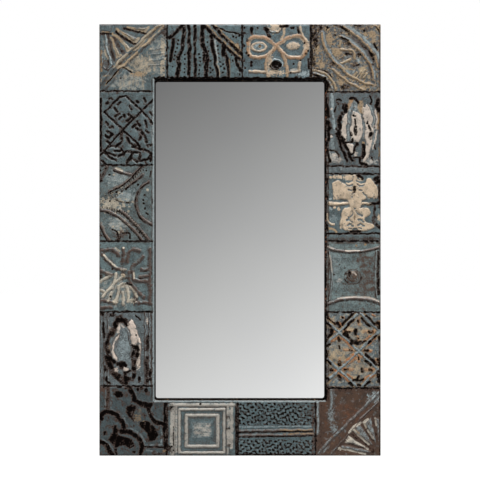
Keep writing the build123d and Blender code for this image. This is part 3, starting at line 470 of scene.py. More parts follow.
def four_petals(t):
    petals = (
        ((0.49, 0.61), (0.36, 0.73), (0.22, 0.77), (0.11, 0.73), (0.085, 0.58), (0.11, 0.43), (0.22, 0.39),
         (0.36, 0.43), (0.49, 0.60)),
        ((0.50, 0.61), (0.62, 0.72), (0.75, 0.78), (0.87, 0.76), (0.94, 0.60), (0.88, 0.43), (0.76, 0.39),
         (0.62, 0.43), (0.50, 0.60)),
    )
    for petal in petals:
        t.ridge(*petal, width=10.0, height=1.3, dark=0.15, light=0.1, cream=0.25, tan=1.0, rust=0.4)
        middle = (sum(u for u, _ in petal) / len(petal), sum(v for _, v in petal) / len(petal))
        inner = [(u + 0.13 * (middle[0] - u), v + 0.13 * (middle[1] - v)) for u, v in petal]
        t.line(*inner, width=3.4, cream=0.75)
    for side in (((0.47, 0.57), (0.38, 0.42), (0.345, 0.25), (0.36, 0.04)),
                 ((0.51, 0.57), (0.60, 0.40), (0.64, 0.22), (0.65, 0.06))):
        t.ridge(*side, width=8.0, height=1.2, dark=0.25, light=0.3, cream=0.35, tan=1.0, rust=0.3)
    t.blot((0.47, 0.12), (0.13, 0.05), cream=0.8, ragged=0.5)
    t.blot((0.38, 0.14), (0.04, 0.11), cream=0.7)
    t.blot((0.40, 0.35), (0.035, 0.15), cream=0.8)
    t.oval((0.24, 0.585), (0.115, 0.09), height=1.2, soft=6.0, rim=0.0, pale=0.5)
    t.ridge(*ring((0.24, 0.585), (0.10, 0.075)), width=5.5, height=1.5, dark=0.1, light=0.2, cream=0.95,
            straight=True)
    t.oval((0.74, 0.60), (0.125, 0.095), height=1.4, soft=7.0, rim=0.1, cream=1.0)
    t.dots((0.25, 0.59), size=9.0, height=-0.8, brown=1.0, tan=1.0, grime=0.6)
    t.dots((0.45, 0.57), size=5.0, height=-0.5, brown=1.0, tan=1.0, grime=0.3)
    t.ridge(*ring((0.49, 0.26), (0.09, 0.10), 0, 360), width=5.0, height=1.2, dark=0.1, light=0.8, straight=True)
    t.oval((0.49, 0.26), (0.078, 0.078), height=0.0, soft=1.5, rim=0.9, grime=1.0)
    t.dots((0.49, 0.255), size=4.5, height=0.8, pale=0.5)
    t.ridge(*ring((0.47, 0.99), (0.11, 0.14), 180, 360), width=5.0, height=1.4, dark=0.3, light=0.5, tan=0.4,
            straight=True)
    t.blot((0.48, 0.94), (0.075, 0.08), cream=0.8, tan=0.6)
    t.line((0.56, 0.72), (0.61, 0.85), (0.61, 0.97), width=6.0, tan=0.9, cream=0.45)
    for ledge in (((0.10, 0.14), (0.34, 0.13)), ((0.68, 0.13), (0.84, 0.15)), ((0.83, 0.30), (0.82, 0.15))):
        t.ridge(*ledge, width=7.0, height=1.1, dark=0.4, light=0.4, cream=0.85, tan=0.5)
    t.ridge((0.84, 0.95), (0.87, 0.80), (0.95, 0.68), width=6.0, height=1.2, cream=0.8, tan=0.5, dark=0.5)
    t.blot((0.93, 0.60), (0.05, 0.08), cream=0.6)
    t.line((0.70, 0.17), (0.78, 0.19), (0.84, 0.14), width=4.0, pale=0.9, cream=0.5)
    t.blot((0.90, 0.10), (0.10, 0.04), pale=0.9, ragged=0.6)
    for path, width in ((((0.33, 0.92), (0.36, 0.84), (0.385, 0.77)), 9.0), (((0.55, 0.955), (0.64, 0.955)), 8.0),
                        (((0.70, 0.93), (0.74, 0.93)), 6.0), (((0.13, 0.93), (0.14, 0.82)), 7.0),
                        (((0.81, 0.93), (0.82, 0.82)), 5.0)):
        t.groove(*path, width=width, depth=0.8, dark=1.0, light=0.1)
    t.line((0.32, 0.90), (0.38, 0.90), width=7.0, grime=0.95)
    t.dots((0.07, 0.70), (0.09, 0.43), (0.06, 0.48), (0.13, 0.30), (0.13, 0.25), size=8.0, height=-0.5, grime=0.95)
    t.dots((0.92, 0.46), (0.95, 0.51), (0.84, 0.345), (0.70, 0.12), (0.745, 0.27), (0.90, 0.66), size=6.0,
           height=-0.4, grime=0.9)
    t.dots((0.03, 0.93), (0.02, 0.34), (0.03, 0.83), (0.02, 0.6), (0.04, 0.2), (0.22, 0.93), size=7.0,
           height=-0.4, grime=0.8)
    t.dots((0.61, 0.24), (0.62, 0.33), (0.86, 0.73), size=6.0, height=-0.4, brown=0.95, tan=0.8, grime=0.35)
    t.line((0.96, 0.36), (0.965, 0.2), width=5.0, grime=0.9)
    t.line((0.99, 1.0), (0.99, 0.0), width=5.0, grime=0.8)
    t.finish(wear=0.3, dirt=0.3)


def great_leaf(t):
    t.mottle(9.0, 0.46, 11, tan=0.85)
    t.mottle(6.0, 0.36, 13, cream=0.45)
    t.mottle(8.0, 0.38, 17, pale=0.5)
    t.mottle(5.5, 0.34, 19, grime=0.55)
    for centre, radii in (((0.25, 0.78), (0.05, 0.09)), ((0.36, 0.58), (0.08, 0.07)), ((0.13, 0.40), (0.05, 0.06)),
                          ((0.08, 0.62), (0.04, 0.06)), ((0.20, 0.92), (0.05, 0.03)), ((0.05, 0.50), (0.03, 0.04)),
                          ((0.55, 0.86), (0.06, 0.02)), ((0.90, 0.75), (0.03, 0.03)), ((0.42, 0.14), (0.04, 0.05)),
                          ((0.88, 0.84), (0.06, 0.05)), ((0.78, 0.85), (0.04, 0.03)), ((0.75, 0.07), (0.05, 0.03))):
        t.blot(centre, radii, tan=0.9, cream=0.35)
    for centre, radii, shade in (((0.53, 0.72), (0.07, 0.04), 0.55), ((0.62, 0.40), (0.05, 0.04), 0.45),
                                 ((0.78, 0.94), (0.12, 0.04), 0.4), ((0.30, 0.41), (0.05, 0.05), 0.6),
                                 ((0.05, 0.78), (0.05, 0.18), 0.7), ((0.10, 0.95), (0.12, 0.05), 0.6),
                                 ((0.03, 0.45), (0.03, 0.13), 0.6), ((0.48, 0.07), (0.07, 0.04), 0.7),
                                 ((0.68, 0.55), (0.03, 0.03), 0.8), ((0.36, 0.88), (0.10, 0.02), 0.3)):
        t.blot(centre, radii, grime=shade, pale=0.3)
    for path in (((0.60, 0.80), (0.72, 0.69), (0.81, 0.58), (0.88, 0.44), (0.91, 0.28)),
                 ((0.72, 0.62), (0.80, 0.50), (0.84, 0.38), (0.86, 0.22))):
        t.wipe(0.7 * bell(t.distance(flow(path)), 12.0), "tan", "cream")
        t.line(*path, width=9.0, grime=0.4, pale=0.3)
    # Each arc: its path, how far right and up its painted highlight lies from it, and that highlight's width.
    arcs = (
        (((0.46, 0.955), (0.56, 0.885), (0.65, 0.82), (0.74, 0.74), (0.83, 0.645), (0.895, 0.55), (0.94, 0.45),
          (0.96, 0.36)), 0.035, 0.035, 7.0),
        (((0.42, 0.81), (0.51, 0.76), (0.60, 0.69), (0.69, 0.60), (0.77, 0.51), (0.835, 0.41), (0.875, 0.30),
          (0.89, 0.17)), 0.02, 0.028, 4.5),
        (((0.14, 0.87), (0.155, 0.76), (0.19, 0.66), (0.24, 0.56), (0.31, 0.46), (0.39, 0.385), (0.47, 0.31),
          (0.52, 0.255)), 0.025, 0.02, 4.0),
    )
    for path, right, up, width in arcs:
        t.ridge(*path, width=9.0, height=2.1, dark=0.0, light=0.0)
        # painted highlight along the arc's upper right, with the tan, dark and cream marks wiped from under it
        t.wipe(0.85 * bell(t.distance(flow([(u + right, v + up) for u, v in path])), 11.0), "tan", "grime", "cream")
        t.line(*[(u + right, v + up) for u, v in path], width=width, pale=0.7)
        t.line(*path, width=4.6, tan=0.85, brown=0.9)
    for path in (((0.31, 0.33), (0.37, 0.27), (0.45, 0.20), (0.53, 0.145), (0.62, 0.10), (0.70, 0.05),
                  (0.76, 0.03)),
                 ((0.50, 0.27), (0.58, 0.22), (0.68, 0.16), (0.78, 0.12), (0.88, 0.10))):
        t.ridge(*path, width=7.0, height=1.6, dark=0.2, light=0.1, tan=0.95, cream=0.3, brown=0.4)
    t.line((0.31, 1.0), (0.40, 0.965), (0.49, 0.92), (0.54, 0.89), width=5.5, grime=0.9, brown=1.0)
    t.line((0.43, 0.80), (0.47, 0.785), (0.52, 0.755), width=5.5, grime=1.0)
    for path, width in ((((0.77, 0.655), (0.79, 0.63)), 6.0), (((0.86, 0.57), (0.90, 0.545)), 6.0),
                        (((0.885, 0.50), (0.89, 0.48)), 6.0), (((0.87, 0.40), (0.89, 0.39)), 5.5),
                        (((0.83, 0.60), (0.87, 0.53)), 5.0), (((0.62, 0.385), (0.68, 0.39)), 4.5),
                        (((0.90, 0.71), (0.95, 0.62)), 5.5), (((0.62, 0.99), (0.70, 0.97)), 6.0)):
        t.line(*path, width=width, grime=0.85)
    t.groove((0.50, 0.56), (0.57, 0.55), width=6.5, depth=0.8, dark=1.0, light=0.0)
    t.ridge((0.42, 0.75), (0.415, 0.67), width=5.5, height=1.2, dark=0.0, light=0.2, tan=0.8, cream=0.6)
    t.ridge((0.42, 0.62), (0.50, 0.62), (0.58, 0.61), (0.62, 0.56), (0.62, 0.50), width=6.5, height=1.3, dark=0.0,
            light=0.1, tan=0.9, cream=0.35)
    t.ridge((0.60, 0.66), (0.66, 0.64), (0.70, 0.60), width=5.5, height=1.2, dark=0.0, light=0.2, tan=0.9,
            cream=0.5)
    t.ridge((0.42, 0.425), (0.48, 0.44), (0.56, 0.48), width=5.5, height=1.2, dark=0.1, light=0.1, tan=0.9,
            cream=0.5)
    t.dots((0.41, 0.66), (0.47, 0.605), (0.54, 0.60), (0.65, 0.645), size=6.5, height=-0.2, brown=1.0)
    t.line((0.66, 0.50), (0.68, 0.43), width=6.0, pale=0.9)
    t.dots((0.45, 0.495), (0.425, 0.875), size=7.5, height=-0.5, brown=1.0, grime=0.5)
    t.dots((0.335, 0.835), (0.54, 0.85), (0.76, 0.90), (0.23, 0.945), size=7.5, height=-0.4, grime=0.8)
    t.blot((0.49, 0.345), (0.05, 0.02), cream=0.9)
    t.line((0.45, 0.33), (0.58, 0.30), width=4.5, pale=0.5)
    t.blot((0.735, 0.335), (0.05, 0.04), cream=0.85, tan=0.6)
    for start, end in (((0.59, 0.21), (0.65, 0.29)), ((0.64, 0.195), (0.71, 0.30)), ((0.695, 0.20), (0.77, 0.32)),
                       ((0.75, 0.21), (0.80, 0.27))):
        t.ridge(start, end, width=5.5, height=1.2, dark=0.35, light=0.1, cream=0.85, tan=0.5)
    t.blot((0.82, 0.22), (0.03, 0.025), cream=0.8)
    t.line((0.57, 0.25), (0.62, 0.32), width=4.5, pale=0.7)
    for path, worn in ((((0.0, 0.315), (0.12, 0.30), (0.22, 0.25), (0.30, 0.165), (0.345, 0.05), (0.35, 0.0)), 0.9),
                       (((0.0, 0.28), (0.11, 0.26), (0.19, 0.22), (0.255, 0.145), (0.295, 0.05), (0.30, 0.0)),
                        0.0)):
        t.ridge(*path, width=6.0, height=1.6, dark=0.3, light=0.3, tan=worn, brown=0.3)
        t.line(*path, width=3.6, pale=0.9 - 0.6 * worn, cream=0.2 + 0.5 * worn)
    t.line((0.08, 0.33), (0.17, 0.31), (0.24, 0.27), (0.28, 0.225), width=4.0, grime=0.9)
    t.line((0.0, 0.255), (0.10, 0.24), (0.17, 0.205), (0.225, 0.145), (0.26, 0.07), width=5.0, grime=0.9)
    t.blot((0.24, 0.09), (0.03, 0.05), brown=1.0)
    t.line((0.0, 0.205), (0.12, 0.205), (0.19, 0.19), (0.225, 0.13), (0.222, 0.0), width=5.0, grime=1.0)
    t.ridge((0.90, 1.0), (0.955, 0.95), (1.0, 0.88), width=5.5, height=1.5, light=0.6, tan=0.9)
    t.line((0.98, 0.95), (0.98, 0.05), width=4.0, grime=0.5)
    t.finish(wear=0.3, dirt=0.25)


def diamond_lattice(t):
    lattice = (
        ((0.10, 0.71), (0.36, 0.92)),
        ((0.36, 0.92), (0.50, 0.93)),
        ((0.49, 0.93), (0.78, 0.73), (0.97, 0.56)),
        ((0.10, 0.72), (0.41, 0.50)),
        ((0.0, 0.13), (0.10, 0.20), (0.43, 0.48), (0.78, 0.74), (0.98, 0.89)),
        ((0.43, 0.47), (0.60, 0.36), (0.74, 0.25)),
    )
    for path in lattice:
        t.groove(*path, width=6.0, depth=1.0, dark=1.0, light=0.35)
    t.line((0.41, 0.50), (0.41, 0.36), width=8.0, brown=0.9, grime=0.65)
    marks = (
        ((0.13, 0.84), (0.17, 0.86)), ((0.20, 0.90), (0.23, 0.90)), ((0.28, 0.77), (0.33, 0.73)),
        ((0.29, 0.66), (0.37, 0.70)), ((0.55, 0.80), (0.59, 0.76)), ((0.53, 0.69), (0.60, 0.65)),
        ((0.36, 0.62), (0.40, 0.65)), ((0.51, 0.60), (0.56, 0.64)), ((0.34, 0.82), (0.38, 0.85)),
        ((0.82, 0.90), (0.84, 0.86)), ((0.68, 0.87), (0.71, 0.85)), ((0.45, 0.68), (0.46, 0.65)),
        ((0.12, 0.58), (0.16, 0.55)), ((0.20, 0.51), (0.25, 0.515)), ((0.15, 0.46), (0.25, 0.415)),
        ((0.12, 0.40), (0.16, 0.38)), ((0.16, 0.37), (0.24, 0.41)), ((0.14, 0.33), (0.17, 0.31)),
        ((0.60, 0.51), (0.68, 0.555)), ((0.70, 0.60), (0.74, 0.53)), ((0.83, 0.60), (0.86, 0.52)),
        ((0.67, 0.50), (0.76, 0.46)), ((0.86, 0.47), (0.90, 0.44)), ((0.72, 0.34), (0.76, 0.38)),
        ((0.82, 0.40), (0.86, 0.31)), ((0.50, 0.37), (0.55, 0.31)), ((0.56, 0.30), (0.66, 0.26)),
        ((0.93, 0.72), (0.97, 0.68)), ((0.88, 0.26), (0.96, 0.28)), ((0.75, 0.46), (0.80, 0.42)),
    )
    for path in marks:
        t.groove(*path, width=7.0, depth=0.7, dark=0.95, light=0.35, brown=0.5)
    interlace = (
        ((0.08, 0.20), (0.20, 0.255), (0.33, 0.25), (0.44, 0.18)),
        ((0.10, 0.18), (0.25, 0.14), (0.38, 0.13), (0.47, 0.17)),
        ((0.10, 0.17), (0.20, 0.10), (0.32, 0.07)),
        ((0.28, 0.19), (0.42, 0.19)),
        ((0.44, 0.13), (0.50, 0.19), (0.60, 0.15), (0.50, 0.05)),
        ((0.50, 0.03), (0.60, 0.10), (0.70, 0.04)),
        ((0.62, 0.17), (0.74, 0.17), (0.73, 0.07)),
        ((0.74, 0.05), (0.80, 0.07), (0.88, 0.08), (0.94, 0.14)),
        ((0.60, 0.24), (0.75, 0.22), (0.92, 0.17), (0.94, 0.06)),
        ((0.30, 0.25), (0.42, 0.32)),
        ((0.84, 0.05), (0.86, 0.02)),
        ((0.05, 0.06), (0.12, 0.02)),
    )
    for path in interlace:
        t.groove(*path, width=6.6, depth=0.8, dark=0.95, light=0.5, brown=0.7)
    # painted shade along the outer left edge, and a painted highlight along the inner right edge, which faces the
    # light
    t.line((0.025, 0.9), (0.03, 0.5), (0.025, 0.2), width=7.0, grime=0.95, brown=0.6)
    t.line((0.97, 0.75), (0.975, 0.3), width=7.0, pale=0.7, cream=0.15)
    t.blot((0.75, 0.42), (0.04, 0.05), grime=0.35)
    t.mottle(15.0, 0.2, 25, grime=0.35)
    t.finish(wear=0.3, dirt=0.4)


def beaded_chevron(t):
    t.blot((0.34, 0.82), (0.22, 0.10), pale=0.5, cream=0.22)
    t.mottle(9.0, 0.2, 27, cream=0.22)
    t.mottle(12.0, 0.25, 29, brown=0.4)
    t.blot((0.50, 0.59), (0.18, 0.08), pale=0.6, cream=0.2)
    t.blot((0.40, 0.10), (0.12, 0.05), brown=0.8)
    t.blot((0.22, 0.50), (0.22, 0.07), cream=0.7, tan=0.4, ragged=0.7)
    t.blot((0.35, 0.22), (0.18, 0.08), pale=0.65, cream=0.35)
    bands = (
        ((0.18, 0.65), (0.30, 0.70), (0.42, 0.745), (0.56, 0.83), (0.70, 0.935), (0.78, 1.0)),
        ((0.50, 0.71), (0.62, 0.77), (0.72, 0.83), (0.80, 0.885)),
        ((0.0, 0.42), (0.12, 0.40), (0.28, 0.355), (0.42, 0.29), (0.60, 0.17), (0.80, 0.0)),
        ((0.34, 0.42), (0.45, 0.375), (0.60, 0.27), (0.78, 0.13), (0.92, 0.0)),
        ((0.90, 0.785), (0.78, 0.72), (0.70, 0.62), (0.675, 0.50), (0.71, 0.38), (0.80, 0.29), (0.97, 0.22)),
        ((0.15, 1.0), (0.09, 0.90), (0.03, 0.80)),
        ((0.0, 0.26), (0.06, 0.16), (0.12, 0.07), (0.20, 0.0)),
        ((0.28, 0.95), (0.42, 0.91), (0.57, 0.88)),
    )
    for path in bands:
        t.ridge(*path, width=6.5, height=1.6, dark=0.75, light=0.5, brown=1.0)
    for row in (((0.05, 0.53), (0.25, 0.58), (0.42, 0.66), (0.60, 0.79), (0.84, 1.0)),
                ((0.10, 0.60), (0.30, 0.65), (0.46, 0.72), (0.62, 0.83), (0.78, 0.95)),
                ((0.04, 0.46), (0.25, 0.41), (0.45, 0.33), (0.64, 0.20), (0.86, 0.02)),
                ((0.12, 0.44), (0.30, 0.42), (0.50, 0.37), (0.66, 0.24), (0.84, 0.08))):
        t.beads(*row, pitch=5.4, size=3.8, height=-0.4, grime=0.7, brown=0.8)
        t.line(*row, width=5.0, brown=0.28, cream=0.25)
    t.line((0.05, 0.24), (0.12, 0.10), (0.20, 0.02), width=4.0, tan=0.3, pale=0.7)
    t.line((0.31, 0.965), (0.42, 0.93), width=4.5, cream=0.9)
    t.line((0.02, 0.88), (0.05, 0.80), width=5.0, brown=1.0, grime=0.6)
    t.dots((0.56, 0.79), (0.61, 0.84), (0.66, 0.88), (0.46, 0.33), (0.50, 0.30), (0.56, 0.26), (0.62, 0.21),
           (0.68, 0.16), (0.73, 0.11), (0.79, 0.06), (0.84, 0.02), (0.80, 0.94), (0.86, 0.93), (0.37, 0.40),
           size=4.6, height=-0.5, grime=0.95, brown=1.0)
    t.dots((0.82, 0.61), (0.80, 0.545), (0.80, 0.50), (0.83, 0.43), (0.70, 0.745), (0.31, 0.65), (0.41, 0.655),
           (0.19, 0.525), (0.18, 0.875), (0.02, 0.93), (0.03, 0.07), (0.49, 0.685), (0.88, 0.36), (0.86, 0.37),
           size=6.0, height=-0.6, grime=0.95, brown=0.9)
    t.line((0.31, 0.545), (0.42, 0.515), (0.58, 0.515), width=4.2, brown=1.0, grime=0.7)
    t.dots((0.35, 0.64), (0.12, 0.485), (0.45, 0.46), (0.25, 0.19), (0.35, 0.12), (0.53, 0.395), (0.30, 0.47),
           (0.60, 0.52), (0.40, 0.715), (0.26, 0.88), (0.88, 0.68), (0.34, 0.41), (0.39, 0.17), size=7.0,
           height=0.2, cream=1.0)
    t.groove((0.24, 0.155), (0.32, 0.125), (0.34, 0.06), width=4.5, depth=0.6, brown=0.8)
    t.groove((0.43, 0.10), (0.55, 0.105), (0.56, 0.04), width=4.5, depth=0.6, brown=0.8)
    t.blot((0.35, 0.05), (0.05, 0.05), brown=0.9, grime=0.6)
    t.groove((0.94, 0.92), (0.92, 0.85), width=4.0, depth=0.5, dark=0.8, brown=0.6)
    # painted highlight along the inner right edge, which faces the light
    t.line((0.985, 0.97), (0.985, 0.03), width=4.5, pale=0.9)
    t.line((0.965, 0.55), (0.965, 0.49), width=3.6, grime=0.7)
    t.finish(wear=0.3, dirt=0.4)


def butterfly_square(t):
    ridges = (
        ((0.03, 0.87), (0.14, 0.88), (0.25, 0.885), (0.36, 0.80)),
        ((0.03, 0.84), (0.15, 0.74), (0.32, 0.62), (0.46, 0.60)),
        ((0.50, 0.70), (0.53, 0.82), (0.62, 0.885), (0.74, 0.87)),
        ((0.80, 0.79), (0.72, 0.72), (0.61, 0.64), (0.60, 0.57)),
        ((0.545, 0.57), (0.55, 0.46), (0.60, 0.38), (0.70, 0.29), (0.81, 0.21)),
        ((0.615, 0.55), (0.63, 0.47), (0.72, 0.44), (0.86, 0.435), (0.94, 0.37)),
        ((0.60, 0.36), (0.66, 0.28), (0.67, 0.21), (0.64, 0.16)),
        ((0.92, 0.90), (0.915, 0.60), (0.92, 0.12)),
        ((0.66, 0.125), (0.80, 0.135), (0.94, 0.12)),
        ((0.44, 0.90), (0.45, 0.78), (0.43, 0.70)),
        ((0.77, 0.61), (0.90, 0.60)),
        ((0.72, 0.50), (0.92, 0.50)),
        ((0.0, 0.60), (0.10, 0.56), (0.22, 0.53)),
        ((0.0, 0.145), (0.12, 0.16), (0.24, 0.14), (0.30, 0.125)),
        ((0.03, 0.06), (0.22, 0.06)),
    )
    for path in ridges:
        t.ridge(*path, width=9.0, height=1.9, dark=0.4, light=0.45, brown=1.0)
    t.line((0.09, 0.81), (0.20, 0.71), (0.32, 0.635), width=4.0, cream=0.8, pale=0.9)
    t.line((0.30, 0.90), (0.37, 0.865), width=5.0, cream=0.9)
    t.dots((0.45, 0.915), size=5.5, height=0.3, cream=0.8, tan=0.5)
    t.line((0.48, 0.40), (0.60, 0.38), width=6.0, grime=0.7, brown=0.8)
    veins = (
        ((0.42, 0.50), (0.30, 0.42), (0.20, 0.33), (0.06, 0.21)),
        ((0.30, 0.54), (0.28, 0.42), (0.24, 0.34)),
        ((0.20, 0.51), (0.10, 0.47), (0.02, 0.43)),
        ((0.42, 0.40), (0.36, 0.36), (0.34, 0.25), (0.30, 0.15)),
        ((0.47, 0.40), (0.52, 0.32), (0.54, 0.22), (0.52, 0.14)),
        ((0.43, 0.28), (0.44, 0.18), (0.44, 0.11)),
        ((0.55, 0.36), (0.64, 0.27), (0.68, 0.22)),
        ((0.22, 0.27), (0.20, 0.21), (0.16, 0.16)),
        ((0.02, 0.31), (0.09, 0.29)),
    )
    for path in veins:
        t.ridge(*path, width=7.5, height=1.6, dark=0.15, light=0.9, cream=0.9)
    t.blot((0.27, 0.32), (0.24, 0.20), cream=0.30, pale=0.35)
    t.blot((0.46, 0.24), (0.12, 0.16), cream=0.35, pale=0.3)
    t.blot((0.60, 0.155), (0.055, 0.035), cream=1.0)
    t.blot((0.29, 0.145), (0.05, 0.035), cream=0.8, tan=1.0)
    t.dots((0.60, 0.16), size=7.0, height=0.2, tan=1.0, brown=0.5)
    t.blot((0.45, 0.37), (0.09, 0.03), cream=0.7)
    t.blot((0.44, 0.60), (0.06, 0.02), cream=0.6)
    t.blot((0.35, 0.46), (0.07, 0.04), cream=0.45, pale=0.5)
    t.oval((0.44, 0.51), (0.065, 0.05), height=2.2, soft=5.5, rim=0.4, tan=0.9, cream=0.35)
    t.dots((0.44, 0.51), size=6.0, height=-0.4, brown=1.0, grime=0.4)
    t.line((0.63, 0.55), (0.645, 0.47), width=3.2, cream=0.9, tan=0.5)
    t.dots((0.24, 0.61), (0.21, 0.215), (0.50, 0.41), size=6.0, height=-0.4, grime=0.85, brown=0.6)
    t.blot((0.03, 0.50), (0.03, 0.03), grime=0.7, brown=0.8)
    t.finish(wear=0.25, dirt=0.35)


def tall_medallion(t):
    t.ridge((0.03, 1.0), (0.03, 0.0), width=4.0, height=0.9, dark=0.4, light=0.4)
    for reed in (0.10, 0.16):
        t.ridge((reed, 1.0), (reed, 0.0), width=4.5, height=1.0, dark=0.55, light=0.4)
    for reed in (0.84, 0.91, 0.96):
        t.ridge((reed, 1.0), (reed, 0.0), width=4.5, height=1.0, dark=0.55, light=0.5)
    t.oval((0.44, 0.52), (0.26, 0.38), height=1.0, soft=9.0, rim=0.3, pale=0.35)
    t.line((0.375, 0.91), (0.28, 0.80), (0.22, 0.70), width=16.0, grime=1.0, brown=1.0)
    t.line((0.22, 0.70), (0.15, 0.60), (0.145, 0.50), (0.20, 0.38), (0.28, 0.32), width=10.0, grime=0.95, brown=1.0)
    t.line((0.15, 0.38), (0.20, 0.27), (0.30, 0.15), (0.44, 0.065), (0.52, 0.08), width=14.0, grime=0.95, brown=1.0)
    t.line((0.38, 0.89), (0.46, 0.885), (0.53, 0.83), width=12.0, grime=0.85, brown=1.0)
    t.line((0.52, 0.10), (0.62, 0.11), (0.63, 0.25), (0.62, 0.42), (0.64, 0.53), width=10.0, grime=0.85, brown=1.0)
    t.line((0.62, 0.53), (0.70, 0.50), (0.70, 0.40), width=11.0, grime=0.9, brown=1.0)
    t.line((0.34, 0.30), (0.42, 0.31), (0.48, 0.28), width=9.0, grime=1.0)
    t.line((0.39, 0.31), (0.41, 0.25), width=11.0, grime=0.9, brown=1.0)
    t.line((0.47, 0.17), (0.49, 0.04), width=10.0, grime=0.95, brown=1.0)
    t.line((0.50, 0.20), (0.55, 0.21), width=6.0, grime=0.95)
    for centre, radii in (((0.24, 0.76), (0.05, 0.03)), ((0.16, 0.52), (0.03, 0.05)), ((0.26, 0.20), (0.05, 0.03)),
                          ((0.20, 0.66), (0.03, 0.02)), ((0.60, 0.32), (0.03, 0.04)), ((0.40, 0.09), (0.05, 0.02))):
        x, z = t.place(centre)
        reach = np.hypot((t.x - x) / (radii[0] * t.width), (t.z - z) / (radii[1] * t.tall))
        t.wipe(0.4 * smooth(1.6 - reach, 0, 1), "grime")
    t.ridge((0.60, 0.88), (0.67, 0.75), (0.72, 0.60), (0.74, 0.50), (0.72, 0.38), (0.70, 0.27), width=6.0,
            height=2.2, dark=0.2, cream=1.0)
    t.pad((0.58, 0.93), (0.66, 0.83), (0.71, 0.72), (0.71, 0.60), (0.68, 0.53), (0.60, 0.53), (0.56, 0.66),
          (0.52, 0.78), (0.50, 0.84), height=2.2, soft=4.0, rim=0.2, cream=1.0)
    t.pad((0.40, 0.74), (0.29, 0.66), (0.22, 0.54), (0.215, 0.45), (0.26, 0.36), (0.34, 0.33), (0.35, 0.40),
          (0.28, 0.48), (0.30, 0.58), (0.35, 0.64), height=2.2, soft=4.0, rim=0.3, cream=1.0)
    t.line((0.37, 0.87), (0.36, 0.80), (0.34, 0.73), width=6.0, cream=0.8)
    t.line((0.38, 0.86), (0.46, 0.80), width=5.0, cream=0.7, pale=0.8)
    t.ridge((0.43, 0.84), (0.35, 0.66), (0.31, 0.50), (0.33, 0.37), width=4.0, height=1.6, dark=0.3)
    t.ridge((0.48, 0.80), (0.54, 0.68), (0.58, 0.55), (0.57, 0.42), width=4.0, height=1.6, dark=0.4)
    t.blot((0.45, 0.52), (0.10, 0.18), pale=0.55)
    t.mottle(6.0, 0.22, 31, pale=0.6)
    t.dots((0.70, 0.485), size=13.0, height=-1.2, grime=1.0)
    t.dots((0.675, 0.69), (0.61, 0.55), size=6.0, height=-0.5, grime=0.9)
    t.oval((0.485, 0.235), (0.07, 0.04), height=2.2, soft=4.0, rim=0.4, cream=1.0)
    t.blot((0.31, 0.22), (0.03, 0.03), cream=0.9)
    t.blot((0.71, 0.29), (0.03, 0.06), cream=0.9)
    t.blot((0.20, 0.78), (0.03, 0.03), cream=0.4, pale=0.6)
    t.blot((0.19, 0.53), (0.03, 0.04), tan=0.5)
    t.line((0.66, 0.955), (0.74, 0.89), width=4.0, grime=0.8)
    t.line((0.13, 0.12), (0.13, 0.07), (0.19, 0.035), width=6.0, grime=0.95)
    t.line((0.72, 0.11), (0.735, 0.06), width=6.0, grime=0.9)
    t.line((0.08, 0.85), (0.085, 0.66), width=6.0, grime=0.85)
    t.line((0.10, 0.26), (0.11, 0.22), width=7.0, grime=0.85)
    t.line((0.885, 0.66), (0.875, 0.48), width=9.0, grime=0.75, brown=0.6)
    t.line((0.87, 0.38), (0.87, 0.03), width=8.0, grime=0.7, brown=0.6)
    t.line((0.925, 0.22), (0.93, 0.09), width=6.0, grime=0.85)
    t.blot((0.24, 0.96), (0.05, 0.03), grime=0.9)
    t.blot((0.04, 0.97), (0.04, 0.02), grime=0.9)
    t.blot((0.87, 0.88), (0.02, 0.04), cream=0.55)
    t.finish(wear=0.35, dirt=0.35)


